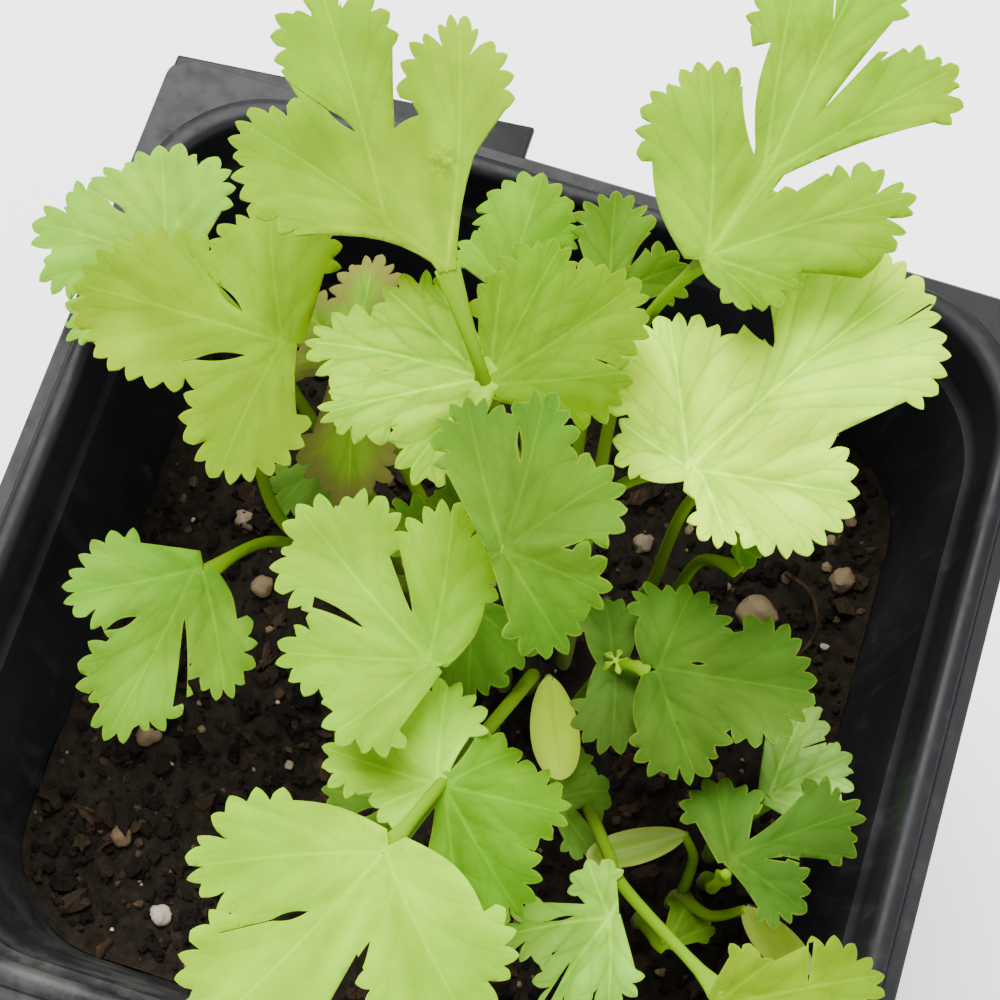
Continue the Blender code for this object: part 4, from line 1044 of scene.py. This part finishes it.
def gap_to_lines(points, lines):
    """Distance from each point to the nearest vein, measured in that vein's half widths, and in mm."""
    scaled = np.full(len(points), 1e9)
    plain = np.full(len(points), 1e9)
    for line, wide, narrow, _ in lines:
        ends = np.array([tuple(p) for p in line])
        for k in range(len(ends) - 1):
            a, b = ends[k], ends[k + 1]
            run = b - a
            u = np.clip(((points - a) @ run) / max(run @ run, 1e-9), 0, 1)
            gap = np.hypot(*(points - a - u[:, None] * run).T)
            width = wide + (narrow - wide) * (k + 0.5) / (len(ends) - 1)
            scaled = np.minimum(scaled, gap / width)
            plain = np.minimum(plain, gap)
    return scaled, plain


def largest_patch(triangles):
    by_edge = {}
    for index, triangle in enumerate(triangles):
        for k in range(3):
            by_edge.setdefault(frozenset((triangle[k], triangle[(k + 1) % 3])), []).append(index)
    left, best = set(range(len(triangles))), []
    while left:
        group, front = [], [left.pop()]
        while front:
            index = front.pop()
            group.append(index)
            triangle = triangles[index]
            for k in range(3):
                for other in by_edge[frozenset((triangle[k], triangle[(k + 1) % 3]))]:
                    if other in left:
                        left.remove(other)
                        front.append(other)
        best = max(best, group, key=len)
    return [triangles[index] for index in best]


def grid_points(border, spacing, clearance):
    left, low = border.min(0)
    right, high = border.max(0)
    rise = spacing * 0.87
    rows = []
    for row in range(1, int((high - low) / rise) + 1):
        xs = np.arange(left + 0.5 * (row % 2) * spacing, right, spacing)
        rows.append(np.column_stack([xs, np.full(len(xs), low + row * rise)]))
    points = np.vstack(rows)
    return points[gaps_to(points, border) > clearance]


def flat_blade(outlines, gaps, lines):
    """Flat points and triangles of the joined outlines less the gaps, with the veins as edges."""
    points, faces, edges = [], [], []
    for outline in outlines + gaps:
        faces.append(list(range(len(points), len(points) + len(outline))))
        points += outline
    for line, *_ in lines:
        edges += [(len(points) + k, len(points) + k + 1) for k in range(len(line) - 1)]
        points += line
    fixed = np.array([tuple(p) for p in points])
    points += [Vector(p) for p in grid_points(fixed, INNER_SPACING, INNER_SPACING * 0.5)]
    for last in (False, False, True):
        found, _, triangles, sources, _, inside = delaunay_2d_cdt(
            points, edges, faces, CDT_OUTLINES, CDT_NEAR)
        kept = [t for t, holders in zip(triangles, inside) if holders and max(holders) < len(outlines)]
        if last:
            return np.array([tuple(p) for p in found]), largest_patch(kept)
        loose = [not rows or max(rows) < len(fixed) for rows in sources]
        for triangle in kept:
            a, b, c = (found[i] for i in triangle)
            if all(loose[i] for i in triangle) and abs((b - a).cross(c - a)) > 0.02:
                points.append((a + b + c) / 3)


def solid_blade(foot, flat, triangles, lines, height_of, quilt):
    """Points, faces and values of a thin blade with sunken veins, from its flat triangles."""
    used = np.array(sorted({i for t in triangles for i in t}))
    index_of = {old: new for new, old in enumerate(used)}
    flat = flat[used]
    triangles = [tuple(index_of[i] for i in t) for t in triangles]
    seen = dict.fromkeys(pair for a, b, c in triangles for pair in ((a, b), (b, c), (c, a)))
    rim = [pair for pair in seen if (pair[1], pair[0]) not in seen]
    rim_points = flat[sorted({i for pair in rim for i in pair})]
    rim_gap = gaps_to(flat, rim_points)
    scaled, plain = gap_to_lines(flat, [line for line in lines if not line[3]])
    rib_scaled, rib_plain = gap_to_lines(flat, [line for line in lines if line[3]])
    plain = np.minimum(plain, rib_plain)
    x, y = flat.T
    z = np.minimum(height_of(x, y), HIGHEST - foot[2])
    slope = np.column_stack([height_of(x - SLOPE_STEP, y) - height_of(x + SLOPE_STEP, y),
                             height_of(x, y - SLOPE_STEP) - height_of(x, y + SLOPE_STEP),
                             np.full(len(x), 2 * SLOPE_STEP)])
    slope /= np.linalg.norm(slope, axis=1)[:, None]
    middle = np.column_stack([x, y, z]) + np.array(foot)
    inner = np.clip(rim_gap / RIM_FADE, 0, 1)
    pillow = quilt * (1 - np.exp(-(plain / QUILT_WIDTH) ** 2)) * inner
    thick = RIM_THICK + (BLADE_THICK - RIM_THICK) * np.sqrt(inner)
    above = middle + slope * (thick / 2 + pillow)[:, None]
    below = middle - slope * (thick / 2 - pillow * 0.8)[:, None]
    count = len(flat)
    faces = list(triangles) + [(c + count, b + count, a + count) for a, b, c in triangles]
    for a, b in rim:
        faces.append((a, a + count, b + count, b))
    values = {
        "vein": np.tile(np.minimum(scaled, 20), 2),
        "rib": np.tile(np.minimum(rib_scaled, 20), 2),
        "rim": np.tile(np.minimum(rim_gap, 9), 2),
        "under": np.repeat([0.0, 1.0], count),
        # The streak values are painted shading of the pleats between veins.
        "streak": np.tile(streaks(x, y, foot[0]), 2),
    }
    return np.vstack([above, below]), faces, values


def streaks(x, y, seed):
    """Painted shading: light and dark bands that fan out from the foot, standing in for the shade of the
    pleats between veins, from -1 to 1.
    """
    return np.array([noise.noise(Vector((4.2 * math.atan2(b, a), 0.10 * math.hypot(a, b), seed)))
                     + 0.5 * noise.noise(Vector((11.0 * math.atan2(b, a), 0.16 * math.hypot(a, b), seed)))
                     for a, b in zip(x, y)])


def blade_part(index, foot, look, lobes, forms=None, gaps=()):
    """One lobed blade of a frond."""
    outlines, gaps, lines = blade_outlines(lobes, forms, gaps)
    flat, triangles = flat_blade(outlines, gaps, lines)
    phase = index * 2.1 + foot[0]
    return coloured(look, *solid_blade(
        foot, flat, triangles, lines, lambda x, y: blade_height(x, y, lobes, phase),
        QUILT * (0.35 + look[3])))


def coloured(look, points, faces, values):
    for key, value in zip(LOOK_NAMES, look):
        values[key] = np.full(len(points), value)
    return points, faces, values


def join_parts(name, parts):
    """One piece from several closed shells with their values."""
    points, faces, start = [], [], 0
    names = parts[0][2].keys()
    for shell_points, shell_faces, _ in parts:
        points.append(np.asarray(shell_points))
        faces += [tuple(i + start for i in f) for f in shell_faces]
        start += len(shell_points)
    piece = mesh_piece(name, np.vstack(points) * MM, faces)
    for key in names:
        point_values(piece, key, np.concatenate([values[key] for _, _, values in parts]))
    return piece


def bud_part(foot, size, light):
    """A tiny star of unopened leaves where new growth starts."""
    lobes = [(heading, size, size * 0.45, 0.3, 0) for heading in range(10, 360, BUD_LEAF_TURN)]
    outlines = [form_outline(Form(lobe[0], size, size * 0.5, 0, 0.45, WEB_TURN, 0.1))[0] for lobe in lobes]
    lines = [(turned([(size * k / 4, 0) for k in range(5)], lobe[0]), 0.1, 0.05, main)
             for lobe in lobes for main in (True, False)]
    flat, triangles = flat_blade(outlines, [], lines)
    return coloured((light, 0.8, 0.1, 0.2), *solid_blade(
        foot, flat, triangles, lines, lambda x, y: blade_height(x, y, lobes, 0.0), BUD_QUILT))


def make_frond(name, row, leaf, stalk):
    root, via, blades = row
    parts = [blade_part(index, *blade) for index, blade in enumerate(blades)]
    if name in BUDS:
        parts.append(bud_part(*BUDS[name]))
    settle(join_parts(name + "_blades", parts), leaf, name, 50)
    path = stalk_path(root, via + [blades[0][0]])
    path.append(path[-1] + (path[-1] - path[-2]).normalized() * STALK_OVERLAP)
    points, faces, shares = tube(path, stalk_radii(len(path), *STALK_RADII),
                                 winged=WING_LENGTHS.get(name, WING_LENGTH))
    piece = mesh_piece(name + "_stalk", [p * MM for p in points], faces)
    point_values(piece, "along", shares)
    settle(piece, stalk, name, 60)


def seed_leaf_outline(heading, length, breadth):
    points = []
    for step in range(SEED_LEAF_STEPS):
        angle = 2 * math.pi * step / SEED_LEAF_STEPS
        s = length * (0.5 - 0.52 * math.cos(angle))
        t = breadth / 2 * math.sin(angle) * (0.6 + 0.4 * math.sin(angle / 2) ** 0.8)
        points.append((s, -t))
    return turned(points, heading)


def make_seedling(name, row, leaf, stalk):
    root, via, leaves = row
    tubes = [stalk_path(root, via)]
    parts = []
    for own_stalk, heading, length, breadth, rise, tone in leaves:
        if own_stalk:
            tubes.append(smooth_path([Vector(point) for point in own_stalk], STALK_STEPS))
        rib = turned([(length * 0.9 * k / 12, 0) for k in range(13)], heading)
        lines = [(rib, 0.2, 0.08, main) for main in (True, False)]
        flat, triangles = flat_blade([seed_leaf_outline(heading, length, breadth)], [], lines)
        points, faces, values = solid_blade(
            (own_stalk or via)[-1], flat, triangles, lines,
            lambda x, y: rise * np.sin(np.minimum(1.0, np.hypot(x, y) / length) * math.pi * 0.7),
            SEED_LEAF_QUILT)
        values["tone"] = np.full(len(points), tone)
        parts.append((points, faces, values))
    settle(join_parts(name + "_leaves", parts), leaf, name, 50)
    shells = []
    for line in tubes:
        points, faces, shares = tube(line, stalk_radii(len(line), *SEED_STALK_RADII))
        shells.append((np.array([tuple(p) for p in points]), faces, {"along": np.array(shares)}))
    settle(join_parts(name + "_stem", shells), stalk, name, 60)


def make_twig(finish):
    turns = ((29.5, 21.5, 52.2), (32.6, 19.6, 53.6), (34.2, 15.6, 53.4), (32.0, 11.0, 52.0))
    path = smooth_path([Vector(p) for p in turns], STALK_STEPS)
    points, faces, _ = tube(path, [0.32 - 0.12 * k / len(path) for k in range(len(path))], 10)
    settle(mesh_piece("soil_twig", [p * MM for p in points], faces), finish, None, 60)


def make_stage():
    deselect()
    bpy.ops.mesh.primitive_plane_add(size=FLOOR_SIZE, location=(0, 0, -FLOOR_DROP))
    floor = bpy.context.object
    floor.name = "floor"
    floor.data.materials.append(floor_finish())
    world = bpy.data.worlds.new("soft_sky")
    world.use_nodes = True
    sky = world.node_tree.nodes["Background"].inputs
    sky["Color"].default_value = SKY_COLOUR
    sky["Strength"].default_value = 1.0
    bpy.context.scene.world = world
    for name, (place, size, power, colour) in LAMPS.items():
        lamp = bpy.data.lights.new(name, "AREA")
        lamp.shape = "DISK"
        lamp.size = size
        lamp.energy = power
        lamp.color = colour
        holder = bpy.data.objects.new(name, lamp)
        holder.location = place
        holder.rotation_euler = (LAMP_TARGET - Vector(place)).to_track_quat("-Z", "Y").to_euler()
        bpy.context.scene.collection.objects.link(holder)
    lens = bpy.data.cameras.new("camera")
    lens.lens = CAMERA_LENS
    lens.sensor_width = 36.0
    lens.clip_start = 0.01
    camera = bpy.data.objects.new("camera", lens)
    camera.location = CAMERA_PLACE
    camera.rotation_euler = [math.radians(angle) for angle in CAMERA_TURN]
    bpy.context.scene.collection.objects.link(camera)
    bpy.context.scene.camera = camera


make_stage()
make_pot(pot_finish())
make_soil(soil_finish())
make_crumbs(crumb_finish(), grit_finish(), bark_finish())
make_twig(bark_finish())
LEAF = leaf_finish("leaf_skin")
OLD_LEAF = leaf_finish("old_leaf_skin", (0.15, 0.095, 0.035), 0.7, 2.4)
STALK = stalk_finish()
for frond_name, frond_row in FRONDS.items():
    make_frond(frond_name, frond_row, OLD_LEAF if frond_name == "leaf_old" else LEAF, STALK)
SEED_LEAF = seed_leaf_finish()
for seedling_name, seedling_row in SEEDLINGS.items():
    make_seedling(seedling_name, seedling_row, SEED_LEAF, STALK)

deselect()
